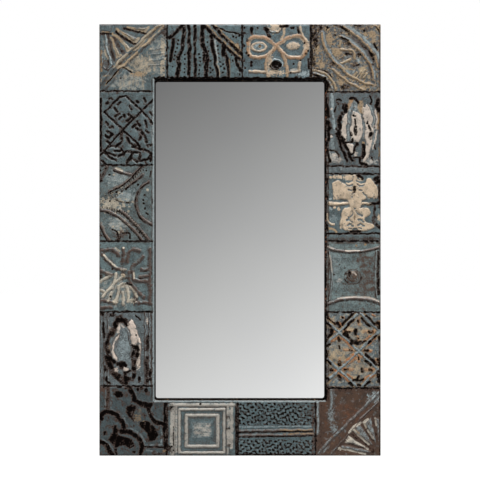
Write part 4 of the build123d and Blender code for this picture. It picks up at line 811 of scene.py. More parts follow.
def quatrefoil_scallops(t):
    scallops = (
        ((0.46, 1.0), (0.49, 0.88), (0.56, 0.78), (0.66, 0.735), (0.76, 0.735)),
        ((0.735, 0.735), (0.745, 0.62), (0.80, 0.52), (0.90, 0.465), (1.0, 0.445)),
        ((0.01, 0.55), (0.05, 0.61), (0.14, 0.635), (0.25, 0.59), (0.335, 0.50), (0.37, 0.40)),
        ((0.33, 0.355), (0.44, 0.35), (0.54, 0.29), (0.62, 0.20), (0.635, 0.10), (0.60, 0.02)),
        ((0.0, 0.215), (0.08, 0.17), (0.15, 0.09), (0.19, 0.0)),
    )
    t.mottle(18.0, 0.42, 33, grime=0.42)
    t.mottle(12.0, 0.2, 35, brown=0.35)
    # pale lines just above and right of the scallops: painted highlight on their lit edges
    for path in scallops:
        t.line(*[(u + 0.03, v + 0.035) for u, v in path], width=5.0, pale=0.35)
    t.stain((0.70, 0.205), (0.84, 0.205), (0.885, 0.30), (0.86, 0.40), (0.79, 0.47), (0.70, 0.53), (0.60, 0.50),
            (0.56, 0.44), (0.63, 0.38), (0.70, 0.31), soft=5.0, grime=1.0)
    t.stain((0.37, 0.63), (0.40, 0.73), (0.48, 0.765), (0.56, 0.74), (0.54, 0.62), (0.53, 0.52), (0.57, 0.45),
            (0.50, 0.47), (0.43, 0.56), soft=5.5, grime=0.85, brown=0.6)
    t.stain((0.18, 0.90), (0.24, 0.95), (0.33, 0.94), (0.39, 0.89), (0.35, 0.83), (0.24, 0.82), soft=4.5, grime=1.0,
            brown=0.4)
    t.stain((0.10, 0.22), (0.17, 0.34), (0.20, 0.47), (0.28, 0.47), (0.30, 0.33), (0.40, 0.29), (0.51, 0.26),
            (0.54, 0.17), (0.46, 0.11), (0.34, 0.13), (0.24, 0.10), (0.17, 0.17), soft=6.5, grime=1.0)
    t.stain((0.20, 0.14), (0.28, 0.12), (0.28, 0.0), (0.23, 0.0), soft=4.0, grime=0.95)
    t.stain((0.04, 0.38), (0.13, 0.39), (0.15, 0.30), (0.04, 0.28), soft=4.5, grime=0.8)
    for path in scallops:
        t.groove(*path, width=12.0, depth=1.3, dark=1.0, light=0.0, brown=0.8)
    t.groove((0.13, 0.68), (0.13, 0.86), (0.13, 1.0), width=11.0, depth=1.0, brown=1.0, dark=0.55)
    # the pale lines beside these grooves, above them or on their right, are painted highlight
    t.line((0.185, 1.0), (0.18, 0.70), width=4.0, pale=0.3)
    t.groove((0.66, 0.13), (0.80, 0.125), (1.0, 0.13), width=5.0, depth=0.9, light=0.0)
    t.line((0.68, 0.16), (0.90, 0.165), (0.92, 0.20), (0.92, 0.40), width=4.5, pale=0.4)
    t.line((0.38, 0.385), (0.50, 0.385), (0.60, 0.33), (0.68, 0.22), width=4.5, pale=0.4)
    t.line((0.15, 0.68), (0.26, 0.65), (0.36, 0.57), (0.42, 0.46), width=4.5, pale=0.3)
    t.groove((0.97, 0.12), (0.965, 0.30), (0.97, 0.44), width=8.0, depth=0.8, light=0.0)
    t.groove((0.80, 0.77), (0.86, 0.775), (0.97, 0.77), width=4.5, depth=0.8, light=0.0)
    t.groove((0.975, 0.76), (0.97, 0.50), width=7.0, depth=0.8, light=0.0)
    t.dots((0.04, 0.535), (0.985, 0.545), size=12.0, height=-0.5, grime=1.0)
    t.dots((0.575, 0.955), (0.69, 0.945), (0.63, 0.975), size=10.0, height=-0.3, grime=0.85)
    t.blot((0.57, 0.55), (0.05, 0.06), ragged=0.35, tan=0.5, cream=0.1)
    t.blot((0.60, 0.65), (0.03, 0.04), ragged=0.15, tan=0.3)
    t.blot((0.75, 0.40), (0.025, 0.02), cream=0.3)
    t.dots((0.67, 0.50), size=7.0, height=0.2, tan=0.6)
    t.blot((0.05, 0.96), (0.05, 0.05), brown=0.9)
    t.dots((0.335, 0.89), size=9.0, height=0.8, pale=0.55)
    t.blot((0.97, 0.07), (0.03, 0.02), brown=1.0, tan=0.5, rust=0.15)
    t.groove((0.46, 0.125), (0.51, 0.15), width=6.0, depth=0.6, dark=0.9, light=0.0)
    t.stain((0.47, 0.08), (0.55, 0.08), (0.54, 0.02), (0.48, 0.02), soft=4.0, grime=0.8, brown=0.7)
    t.line((0.70, 0.08), (0.86, 0.06), width=4.5, pale=0.35)
    t.line((0.80, 0.03), (0.95, 0.03), width=4.0, grime=0.7)
    t.line((0.38, 0.97), (0.46, 0.99), width=6.0, grime=0.6, brown=0.8)
    t.finish(wear=0.2, dirt=0.4)


def nested_squares(t):
    squares = ((0.275, 0.175, 0.725, 0.735, 8.5), (0.175, 0.06, 0.815, 0.845, 7.0))
    for left, low, right, high, width in squares:
        t.ridge((left, low), (right, low), (right, high), (left, high), (left, low), width=width, height=1.9,
                dark=0.2, light=0.6, cream=0.95, straight=True)
    t.ridge((0.33, 0.26), (0.68, 0.26), (0.68, 0.69), (0.33, 0.69), (0.33, 0.26), width=2.6, height=-0.1,
            dark=0.35, light=0.0, straight=True)
    t.pad((0.32, 0.29), (0.67, 0.29), (0.67, 0.66), (0.32, 0.66), height=0.9, soft=7.0, rim=0.1, pale=0.35)
    streaks = 0.45 + 0.55 * smooth(waves(t.x * 0.12, t.z, 5.0, 301), -1.2, 1.4)
    t.mark(streaks * t.inside(((0.34, 0.30), (0.67, 0.30), (0.67, 0.65), (0.34, 0.65)), 14.0), cream=0.8)
    t.ridge((0.13, 0.0), (0.13, 0.90), width=7.0, height=1.7, dark=0.2, cream=0.6)
    t.line((0.085, 0.92), (0.08, 0.05), width=12.0, cream=0.85)
    t.line((0.06, 0.55), (0.055, 0.25), width=6.0, cream=0.85)
    t.ridge((0.865, 0.0), (0.865, 0.90), width=6.0, height=1.5, dark=0.3, cream=0.5)
    t.line((0.92, 0.95), (0.925, 0.55), (0.92, 0.15), width=8.0, cream=0.9)
    t.line((0.875, 0.45), (0.885, 0.25), width=10.0, cream=0.95)
    t.line((0.875, 0.90), (0.875, 0.75), width=8.0, cream=0.8)
    t.line((0.88, 0.65), (0.88, 0.55), width=7.0, cream=0.75)
    t.blot((0.865, 0.71), (0.02, 0.03), grime=0.7)
    t.blot((0.87, 0.50), (0.03, 0.02), grime=0.7)
    t.blot((0.88, 0.19), (0.03, 0.03), grime=0.6)
    t.blot((0.06, 0.13), (0.05, 0.08), grime=0.65)
    t.blot((0.06, 0.88), (0.04, 0.09), grime=0.6)
    t.line((0.09, 0.53), (0.09, 0.10), width=4.0, grime=0.75)
    t.ridge((0.05, 0.925), (0.95, 0.925), width=9.0, height=1.5, dark=0.3, cream=0.95, light=0.8)
    t.line((0.28, 0.945), (0.36, 0.935), width=5.0, grime=0.4)
    t.dots((0.475, 0.94), size=7.0, height=-0.4, brown=0.7, grime=0.6)
    t.line((0.05, 0.97), (0.95, 0.97), width=3.2, grime=0.55)
    t.line((0.01, 0.0), (0.01, 1.0), width=3.0, grime=0.7)
    t.line((0.985, 0.0), (0.985, 0.9), width=4.0, grime=0.85)
    t.finish(wear=0.2, dirt=0.35, seams=0.6)


def double_rail(t):
    worms = waves(t.x, t.z, 8.2, 207) + 0.4 * waves(t.x, t.z, 4.8, 209)
    u, v = (t.x - t.x0) / t.width, (t.z - t.z0) / t.tall
    band = smooth(np.abs(v - 0.43), 0.11, 0.15)
    fade = 1 - 0.35 * smooth(u, 0.6, 1.0)
    spots = smooth(worms, 0.05, 0.85) * band * fade
    t.height = t.height - 0.9 * spots
    t.mark(spots, grime=1.0, brown=0.7)
    t.mark(smooth(worms, -0.9, 0.3) * band * smooth(u, 0.45, 1.0), brown=0.55)
    t.mark(smooth(-worms, 0.5, 1.6) * band, pale=0.35)
    for level, tilt in ((0.455, 0.02), (0.37, 0.02)):
        t.ridge((0.03, level), (0.5, level + tilt / 2), (0.97, level + tilt), width=6.5, height=1.3, dark=0.95,
                light=0.8, brown=0.85)
    t.line((0.55, 0.47), (0.97, 0.48), width=3.6, tan=0.6, brown=1.0)
    t.line((0.60, 0.405), (0.97, 0.41), width=3.6, tan=0.5, brown=1.0)
    t.line((0.03, 0.53), (0.95, 0.54), width=4.0, pale=0.6)
    t.line((0.97, 0.97), (0.975, 0.0), width=6.0, brown=0.85)
    t.line((0.06, 0.97), (0.95, 0.97), width=3.0, brown=0.7, grime=0.5)
    t.line((0.02, 0.03), (0.97, 0.03), width=4.0, grime=0.8)
    t.line((0.012, 0.0), (0.012, 1.0), width=3.0, grime=0.8)
    t.finish(wear=0.3, dirt=0.35, seams=0.7)


def rays_and_band(t):
    t.line((0.035, 0.80), (0.035, 0.55), (0.03, 0.33), width=6.5, pale=0.75)
    t.ridge((0.03, 1.0), (0.03, 0.0), width=5.5, height=1.2, dark=0.2, light=0.1)
    t.groove((0.09, 0.78), (0.085, 0.40), (0.10, 0.05), width=6.0, depth=0.8, dark=0.4, light=0.0)
    t.line((0.16, 0.75), (0.16, 0.45), (0.15, 0.18), width=10.0, rust=0.16)
    t.ridge((0.245, 1.0), (0.24, 0.80), (0.23, 0.70), width=6.5, height=1.2, dark=0.2, pale=0.65)
    t.mottle(16.0, 0.34, 43, pale=0.3)
    t.blot((0.27, 0.90), (0.03, 0.10), pale=0.35)
    t.blot((0.24, 0.60), (0.05, 0.14), pale=0.5)
    t.blot((0.55, 0.62), (0.26, 0.18), rust=0.2, ragged=0.3)
    t.blot((0.35, 0.60), (0.05, 0.12), pale=0.16)
    t.blot((0.28, 0.40), (0.05, 0.06), pale=0.6)
    t.blot((0.42, 0.80), (0.06, 0.06), pale=0.2)
    t.blot((0.92, 0.88), (0.09, 0.08), pale=0.8, ragged=0.5)
    t.blot((0.84, 0.84), (0.04, 0.05), pale=0.65, ragged=0.5)
    t.line((0.06, 0.05), (0.20, 0.22), (0.30, 0.31), (0.42, 0.41), (0.52, 0.52), (0.62, 0.60), (0.72, 0.69),
           (0.82, 0.80), (0.90, 0.89), width=8.5, pale=0.5)
    t.ridge((0.02, 0.02), (0.25, 0.265), (0.42, 0.415), (0.60, 0.585), (0.80, 0.78), (1.0, 0.96), width=7.0,
            height=2.0, dark=0.2, light=0.0)
    t.ridge((0.22, 0.0), (0.32, 0.12), (0.50, 0.32), (0.70, 0.56), (0.82, 0.67), (1.0, 0.83), width=5.0, height=1.8,
            dark=0.4, light=0.3)
    t.line((0.68, 0.56), (0.80, 0.66), (0.92, 0.77), (1.0, 0.83), width=5.0, pale=0.4)
    t.line((0.24, 0.05), (0.32, 0.13), width=5.0, pale=0.4)
    t.line((0.10, 0.05), (0.20, 0.13), width=6.0, pale=0.5)
    t.line((0.52, 0.50), (0.72, 0.66), (0.96, 0.88), width=6.0, grime=0.35)
    for centre, radii in (((0.25, 0.28), (0.03, 0.03)), ((0.26, 0.18), (0.04, 0.03)), ((0.33, 0.24), (0.03, 0.05)),
                          ((0.38, 0.32), (0.04, 0.03)), ((0.20, 0.05), (0.04, 0.02))):
        t.blot(centre, radii, rust=0.12, tan=0.2, brown=0.9)
    pleats = (
        ((0.35, 0.115), (0.40, 0.175), (0.70, 0.125), (0.88, 0.075), (0.84, 0.03), (0.66, 0.055), (0.50, 0.09)),
        ((0.43, 0.195), (0.51, 0.29), (0.63, 0.215), (0.82, 0.105), (0.70, 0.13), (0.55, 0.17)),
        ((0.54, 0.37), (0.61, 0.45), (0.69, 0.485), (0.80, 0.34), (0.90, 0.15), (0.84, 0.15), (0.74, 0.235),
         (0.64, 0.31)),
        ((0.73, 0.49), (0.80, 0.545), (0.86, 0.60), (0.90, 0.42), (0.945, 0.20), (0.92, 0.12), (0.86, 0.26),
         (0.80, 0.38)),
        ((0.90, 0.58), (0.99, 0.56), (0.99, 0.12), (0.96, 0.12), (0.93, 0.38)),
    )
    for pleat in pleats:
        t.wipe(t.inside(pleat, 2.0), "grime", "rust", "brown")
        t.pad(*pleat, height=2.1, soft=5.0, rim=0.3, pale=0.5)
    for path, width in ((((0.54, 0.325), (0.66, 0.25), (0.76, 0.18), (0.87, 0.10)), 8.0),
                        (((0.70, 0.475), (0.79, 0.36), (0.88, 0.22)), 6.5),
                        (((0.865, 0.61), (0.89, 0.47), (0.93, 0.28)), 5.5),
                        (((0.42, 0.185), (0.58, 0.155), (0.76, 0.11)), 4.5)):
        t.wipe(0.9 * bell(t.distance(flow(path)), width * 1.3), "pale")
        t.groove(*path, width=width, depth=1.2, dark=0.5, light=0.0, brown=0.3, pale=0.12)
    t.blot((0.52, 0.235), (0.05, 0.035), cream=0.85, ragged=0.2)
    t.line((0.46, 0.205), (0.58, 0.20), (0.68, 0.155), width=5.0, cream=0.6)
    t.line((0.50, 0.285), (0.60, 0.225), (0.70, 0.16), (0.80, 0.10), width=4.0, cream=1.0, pale=0.8)
    t.line((0.35, 0.12), (0.50, 0.09), (0.66, 0.055), (0.76, 0.03), width=4.6, cream=1.0)
    t.blot((0.375, 0.11), (0.03, 0.02), cream=1.0, tan=0.3)
    t.line((0.52, 0.345), (0.56, 0.40), (0.62, 0.455), (0.69, 0.49), width=6.0, cream=1.0)
    t.line((0.74, 0.495), (0.80, 0.545), width=5.5, cream=1.0)
    t.line((0.58, 0.39), (0.66, 0.31), (0.74, 0.235), (0.82, 0.17), width=5.0, cream=0.9, tan=0.7)
    t.line((0.61, 0.38), (0.66, 0.34), width=5.0, tan=0.9, rust=0.2)
    t.line((0.75, 0.49), (0.77, 0.42), width=5.0, cream=0.6, tan=0.8)
    t.line((0.80, 0.38), (0.84, 0.33), (0.88, 0.26), width=5.0, cream=0.9)
    t.line((0.91, 0.56), (0.93, 0.45), width=4.0, cream=0.7)
    t.line((0.40, 0.075), (0.55, 0.05), (0.72, 0.02), width=5.0, brown=1.0, rust=0.15, tan=0.2)
    t.blot((0.88, 0.07), (0.03, 0.04), grime=0.6)
    t.blot((0.90, 0.13), (0.03, 0.02), brown=0.6)
    t.mottle(11.0, 0.22, 43, grime=0.3)
    t.blot((0.45, 0.97), (0.14, 0.03), grime=0.5)
    t.blot((0.80, 0.97), (0.14, 0.03), grime=0.5)
    t.line((0.985, 1.0), (0.985, 0.0), width=4.5, grime=0.6)
    t.line((0.175, 0.82), (0.175, 1.0), width=5.0, grime=0.9)
    t.finish(wear=0.12, dirt=0.35)


def zebra_medallion(t):
    t.mottle(9.0, 0.22, 51, grime=0.4)
    t.blot((0.14, 0.20), (0.09, 0.07), pale=0.4, cream=0.45)
    t.blot((0.25, 0.17), (0.06, 0.04), cream=0.45)
    t.blot((0.79, 0.15), (0.13, 0.04), pale=0.5, cream=0.45)
    t.blot((0.12, 0.36), (0.04, 0.10), pale=0.4)
    lobes = (
        (((0.46, 0.89), (0.41, 0.84), (0.395, 0.76), (0.32, 0.71), (0.275, 0.60), (0.27, 0.50), (0.31, 0.42),
          (0.37, 0.39), (0.40, 0.40), (0.385, 0.52), (0.395, 0.66), (0.43, 0.77)), 1.0),
        (((0.49, 0.78), (0.46, 0.70), (0.44, 0.58), (0.43, 0.46), (0.46, 0.39), (0.54, 0.37), (0.62, 0.39),
          (0.67, 0.46), (0.68, 0.56), (0.665, 0.66), (0.64, 0.72), (0.58, 0.75)), 0.9),
        (((0.655, 0.86), (0.70, 0.83), (0.75, 0.86), (0.80, 0.81), (0.85, 0.71), (0.865, 0.58), (0.86, 0.44),
          (0.83, 0.32), (0.79, 0.22), (0.74, 0.14), (0.67, 0.13), (0.70, 0.24), (0.715, 0.36), (0.70, 0.46),
          (0.70, 0.58), (0.66, 0.70), (0.63, 0.78)), 1.0),
        (((0.85, 0.82), (0.91, 0.75), (0.935, 0.62), (0.92, 0.44), (0.89, 0.46), (0.895, 0.62), (0.87, 0.74)),
         0.75),
        (((0.37, 0.385), (0.46, 0.38), (0.52, 0.34), (0.50, 0.26), (0.42, 0.25), (0.385, 0.30)), 0.9),
    )
    for path, width in ((((0.475, 0.86), (0.43, 0.73), (0.41, 0.58), (0.41, 0.42)), 5.0),
                        (((0.54, 0.89), (0.55, 0.74)), 11.0), (((0.59, 0.80), (0.62, 0.72)), 8.0),
                        (((0.69, 0.70), (0.69, 0.56), (0.685, 0.44)), 4.0),
                        (((0.80, 0.84), (0.865, 0.72), (0.88, 0.58), (0.87, 0.44), (0.84, 0.32)), 5.0)):
        t.line(*path, width=width, pale=0.5, cream=0.2)
    for lobe, worn in lobes:
        t.pad(*flow([*lobe, lobe[0]], 4)[:-1], height=2.0, soft=3.2, rim=0.0, cream=worn)
    t.blot((0.54, 0.24), (0.03, 0.03), cream=0.8)
    for path in (((0.575, 0.68), (0.59, 0.56), (0.57, 0.47)), ((0.33, 0.62), (0.33, 0.52)),
                 ((0.75, 0.78), (0.77, 0.70)),
                 ((0.77, 0.42), (0.75, 0.30)), ((0.47, 0.66), (0.465, 0.54))):
        t.line(*path, width=3.4, tan=0.45, pale=0.3)
    t.ridge((0.90, 0.78), (0.925, 0.62), (0.90, 0.42), (0.86, 0.30), width=5.0, height=1.4, dark=0.1, cream=0.75)
    t.line((0.95, 0.75), (0.95, 0.55), width=5.0, brown=0.9, tan=0.7)
    t.line((0.97, 0.32), (0.97, 0.22), width=5.0, tan=0.5)
    t.line((0.47, 0.90), (0.43, 0.86), (0.41, 0.80), width=8.0, tan=0.85, rust=0.25)
    t.wipe(0.5 * bell(t.distance([(0.64, 0.84), (0.66, 0.74)]), 16.0), "cream")
    t.line((0.64, 0.87), (0.63, 0.79), (0.68, 0.75), width=12.0, tan=0.9)
    t.dots((0.79, 0.65), (0.73, 0.44), (0.68, 0.385), size=7.0, height=-0.3, brown=0.6, tan=0.8)
    strokes = (
        (((0.46, 0.92), (0.53, 0.915), (0.60, 0.865)), 7.0), (((0.32, 0.85), (0.31, 0.80)), 7.0),
        (((0.35, 0.82), (0.37, 0.77)), 13.0), (((0.40, 0.80), (0.38, 0.76)), 6.0),
        (((0.29, 0.75), (0.32, 0.72)), 7.0), (((0.255, 0.70), (0.25, 0.56)), 11.0),
        (((0.24, 0.56), (0.25, 0.47), (0.31, 0.38)), 9.0), (((0.19, 0.55), (0.23, 0.54)), 7.0),
        (((0.28, 0.44), (0.38, 0.31), (0.42, 0.24)), 9.0),
        (((0.20, 0.49), (0.25, 0.39), (0.33, 0.25), (0.40, 0.16)),
                                                           6.5),
        (((0.40, 0.25), (0.48, 0.165)), 7.0), (((0.30, 0.44), (0.35, 0.42)), 6.0),
        (((0.685, 0.355), (0.69, 0.27), (0.66, 0.20)), 10.0), (((0.63, 0.19), (0.635, 0.13), (0.74, 0.115)), 7.0),
        (((0.36, 0.385), (0.48, 0.39), (0.48, 0.43)), 5.0),
        (((0.44, 0.235), (0.52, 0.27), (0.54, 0.33), (0.57, 0.37)),
                                                            5.0),
        (((0.50, 0.20), (0.61, 0.20)), 5.0), (((0.20, 0.90), (0.23, 0.85)), 6.0),
        (((0.20, 0.91), (0.29, 0.905)), 4.0),
        (((0.18, 0.82), (0.17, 0.76)), 5.0), (((0.80, 0.95), (0.84, 0.88)), 4.5),
        (((0.83, 0.88), (0.82, 0.85)), 5.0),
        (((0.50, 0.715), (0.53, 0.70)), 6.0), (((0.53, 0.66), (0.54, 0.62)), 7.0),
        (((0.545, 0.58), (0.535, 0.48)), 10.0),
        (((0.455, 0.50), (0.455, 0.475)), 7.0), (((0.475, 0.43), (0.48, 0.40)), 5.0),
        (((0.56, 0.375), (0.56, 0.355)), 8.0),
        (((0.75, 0.64), (0.75, 0.615)), 7.0), (((0.785, 0.58), (0.795, 0.535)), 8.0),
        (((0.815, 0.50), (0.81, 0.43)), 9.5),
        (((0.01, 0.92), (0.03, 0.80), (0.04, 0.70)), 9.0), (((0.04, 0.63), (0.06, 0.58)), 13.0),
        (((0.04, 0.54), (0.06, 0.46), (0.02, 0.38)), 8.5), (((0.03, 0.30), (0.05, 0.21), (0.08, 0.15)), 7.0),
        (((0.09, 0.29), (0.17, 0.28), (0.24, 0.22)), 5.0), (((0.95, 0.90), (0.93, 0.83), (0.97, 0.77)), 12.0),
        (((0.90, 0.30), (0.89, 0.36)), 4.0), (((0.83, 0.20), (0.86, 0.17)), 5.0),
    )
    for path, width in strokes:
        t.groove(*path, width=width, depth=0.9, dark=1.0, light=0.0, brown=0.5)
    t.line((0.52, 0.70), (0.54, 0.66), width=6.0, pale=0.8)
    t.line((0.115, 0.98), (0.12, 0.84), (0.135, 0.68), (0.17, 0.53), width=7.0, pale=0.7)
    t.ridge((0.16, 0.55), (0.22, 0.44), (0.30, 0.30), (0.36, 0.20), width=6.0, height=1.3, dark=0.0, light=0.2,
            pale=0.4)
    t.dots((0.105, 0.80), (0.11, 0.455), size=7.0, height=0.3, cream=1.0)
    t.groove((0.0, 0.095), (0.5, 0.09), (1.0, 0.09), width=5.0, depth=0.8, dark=0.75, light=0.4)
    t.line((0.03, 0.05), (0.97, 0.05), width=8.0, pale=0.3)
    t.line((0.97, 0.95), (0.975, 0.03), width=4.0, grime=0.45)
    t.finish(wear=0.25, dirt=0.15)


def cross_of_lobes(t):
    lobes = (
        ((0.115, 0.88), (0.16, 0.90), (0.22, 0.925), (0.31, 0.875), (0.37, 0.865), (0.48, 0.87), (0.49, 0.74),
         (0.47, 0.62), (0.36, 0.605), (0.28, 0.62), (0.22, 0.60), (0.165, 0.60), (0.12, 0.68)),
        ((0.56, 0.87), (0.70, 0.87), (0.74, 0.935), (0.80, 0.955), (0.85, 0.92), (0.90, 0.86), (0.955, 0.80),
         (0.965, 0.70), (0.93, 0.615), (0.84, 0.625), (0.78, 0.64), (0.72, 0.61), (0.60, 0.60), (0.56, 0.70)),
        ((0.45, 0.52), (0.34, 0.50), (0.28, 0.45), (0.26, 0.37), (0.235, 0.28), (0.28, 0.20), (0.34, 0.145),
         (0.47, 0.14), (0.50, 0.24), (0.46, 0.36), (0.48, 0.46)),
        ((0.57, 0.50), (0.66, 0.51), (0.78, 0.50), (0.835, 0.44), (0.80, 0.375), (0.73, 0.345), (0.74, 0.29),
         (0.85, 0.265), (0.90, 0.225), (0.86, 0.175), (0.74, 0.145), (0.58, 0.14), (0.55, 0.24), (0.58, 0.36)),
        ((0.43, 0.64), (0.42, 0.50), (0.48, 0.44), (0.56, 0.44), (0.65, 0.50), (0.65, 0.64), (0.56, 0.72),
         (0.48, 0.72)),
    )
    t.mottle(5.0, 0.25, 61, pale=0.35)
    t.pad((0.36, 0.86), (0.46, 0.90), (0.58, 0.90), (0.68, 0.86), (0.68, 0.62), (0.65, 0.50), (0.72, 0.44),
          (0.70, 0.16), (0.36, 0.15), (0.34, 0.44), (0.42, 0.52), (0.36, 0.62), height=1.1, soft=5.0, rim=0.0,
          cream=1.0)
    for outline in lobes:
        t.pad(*flow([*outline, outline[0]], 3)[:-1], height=1.6, soft=4.5, rim=0.1, cream=1.0)
    t.ridge((0.53, 0.97), (0.53, 0.88), (0.52, 0.70), (0.52, 0.50), width=10.0, height=2.0, dark=0.0, cream=1.0)
    t.blot((0.42, 0.955), (0.10, 0.035), cream=1.0, ragged=0.2)
    t.blot((0.24, 0.955), (0.07, 0.025), cream=0.75)
    t.dots((0.09, 0.95), (0.15, 0.96), (0.63, 0.94), size=8.0, height=0.3, cream=0.9, tan=0.5)
    t.wipe(0.95 * smooth(1 - np.abs((t.z - t.z0) / t.tall - 0.555) / 0.05, 0, 0.3)
           * smooth(np.abs((t.x - t.x0) / t.width - 0.535), 0.115, 0.14), "cream")
    scrolls = (
        (((0.36, 0.90), (0.41, 0.895), (0.47, 0.90)), 4.5), (((0.38, 0.845), (0.43, 0.825), (0.48, 0.84)), 4.2),
        (((0.41, 0.765), (0.465, 0.76)), 4.0), (((0.57, 0.90), (0.62, 0.88), (0.68, 0.90)), 4.5),
        (((0.575, 0.845), (0.63, 0.825), (0.69, 0.84)), 4.2), (((0.60, 0.76), (0.66, 0.755)), 3.8),
        (((0.38, 0.31), (0.43, 0.32), (0.47, 0.285)), 5.0), (((0.395, 0.235), (0.45, 0.26), (0.49, 0.225)), 5.0),
        (((0.585, 0.32), (0.64, 0.32), (0.69, 0.285)), 5.0), (((0.585, 0.235), (0.64, 0.255), (0.69, 0.225)), 5.0),
        (((0.475, 0.44), (0.465, 0.385), (0.42, 0.35)), 6.0), (((0.56, 0.45), (0.60, 0.40), (0.65, 0.375)), 6.0),
        (((0.515, 0.68), (0.52, 0.48)), 3.6), (((0.21, 0.67), (0.20, 0.60)), 4.2),
        (((0.15, 0.65), (0.15, 0.60)), 3.6),
        (((0.74, 0.68), (0.76, 0.64), (0.79, 0.62)), 5.0), (((0.87, 0.66), (0.88, 0.61)), 4.0),
        (((0.24, 0.48), (0.22, 0.45)), 5.0), (((0.485, 0.72), (0.475, 0.66)), 4.5),
        (((0.68, 0.72), (0.72, 0.68)), 3.4), (((0.42, 0.19), (0.46, 0.185)), 3.6),
        (((0.60, 0.19), (0.64, 0.185)), 3.6),
        (((0.50, 0.18), (0.55, 0.18)), 4.5), (((0.30, 0.24), (0.28, 0.17)), 3.6),
    )
    for path, width in scrolls:
        t.wipe(0.9 * smooth(bell(t.distance(flow(path)), width * 1.25), 0, 0.6), "cream")
        t.groove(*path, width=width, depth=1.2, dark=0.1, light=0.0, pale=0.3)
        t.line(*[(u, v + 0.02) for u, v in path], width=3.0, cream=0.9)
    t.groove((0.515, 0.80), (0.52, 0.73), width=9.5, depth=1.8, dark=1.0, light=0.0)
    t.ridge((0.07, 0.56), (0.22, 0.555), (0.38, 0.565), width=9.0, height=1.9, dark=0.3, light=0.2, cream=1.0)
    t.ridge((0.67, 0.56), (0.76, 0.555), (0.82, 0.55), width=7.0, height=1.6, dark=0.3, light=0.2, tan=1.0,
            cream=0.6)
    t.line((0.80, 0.555), (0.90, 0.56), width=6.5, grime=0.9, brown=0.8)
    t.ridge((0.515, 0.44), (0.535, 0.38), (0.52, 0.30), width=7.0, height=1.8, dark=0.1, cream=0.9)
    t.wipe(0.8 * bell(t.distance([(0.525, 0.38), (0.52, 0.32)]), 5.0), "cream")
    t.line((0.525, 0.38), (0.52, 0.32), width=4.5, brown=1.0, tan=0.9)
    t.line((0.07, 0.50), (0.10, 0.47), width=5.0, pale=0.9)
    t.dots((0.16, 0.50), (0.24, 0.47), size=8.0, height=0.5, cream=0.85)
    t.line((0.05, 0.62), (0.10, 0.63), width=5.0, pale=0.9)
    t.ridge((0.035, 0.40), (0.04, 0.30), (0.09, 0.25), (0.16, 0.245), width=5.0, height=1.4, dark=0.1, light=0.7,
            cream=0.85)
    t.line((0.05, 0.19), (0.13, 0.18), (0.18, 0.14), width=6.0, tan=1.0, cream=0.3)
    t.blot((0.13, 0.34), (0.08, 0.06), pale=0.4)
    t.blot((0.965, 0.35), (0.025, 0.05), cream=0.75, tan=0.5)
    t.blot((0.88, 0.32), (0.05, 0.08), grime=0.5)
    t.line((0.885, 0.52), (0.88, 0.42), (0.88, 0.30), width=6.0, grime=0.55)
    for path, width in ((((0.92, 0.245), (0.98, 0.205)), 8.0), (((0.90, 0.925), (0.97, 0.90)), 12.0),
                        (((0.92, 0.87), (0.96, 0.95)), 9.0), (((0.57, 0.985), (0.61, 0.965)), 8.0),
                        (((0.955, 0.565), (0.975, 0.55)), 10.0), (((0.89, 0.49), (0.90, 0.46)), 6.0),
                        (((0.03, 0.92), (0.02, 0.86)), 7.0), (((0.03, 0.66), (0.03, 0.62)), 6.0),
                        (((0.65, 0.95), (0.665, 0.93)), 8.0), (((0.02, 0.24), (0.04, 0.16)), 5.0)):
        t.groove(*path, width=width, depth=0.8, dark=1.0, light=0.1)
    t.line((0.97, 0.85), (0.975, 0.50), width=5.0, grime=0.7)
    t.groove((0.0, 0.105), (0.5, 0.11), (1.0, 0.11), width=5.0, depth=1.0, dark=1.0, light=0.3)
    t.line((0.45, 0.14), (0.62, 0.145), width=6.0, grime=0.85)
    t.dots((0.60, 0.13), (0.40, 0.12), size=6.0, height=-0.4, grime=0.9)
    t.blot((0.40, 0.03), (0.40, 0.03), grime=0.35)
    t.blot((0.80, 0.03), (0.20, 0.03), grime=0.5, brown=0.3)
    t.finish(wear=0.3, dirt=0.25)


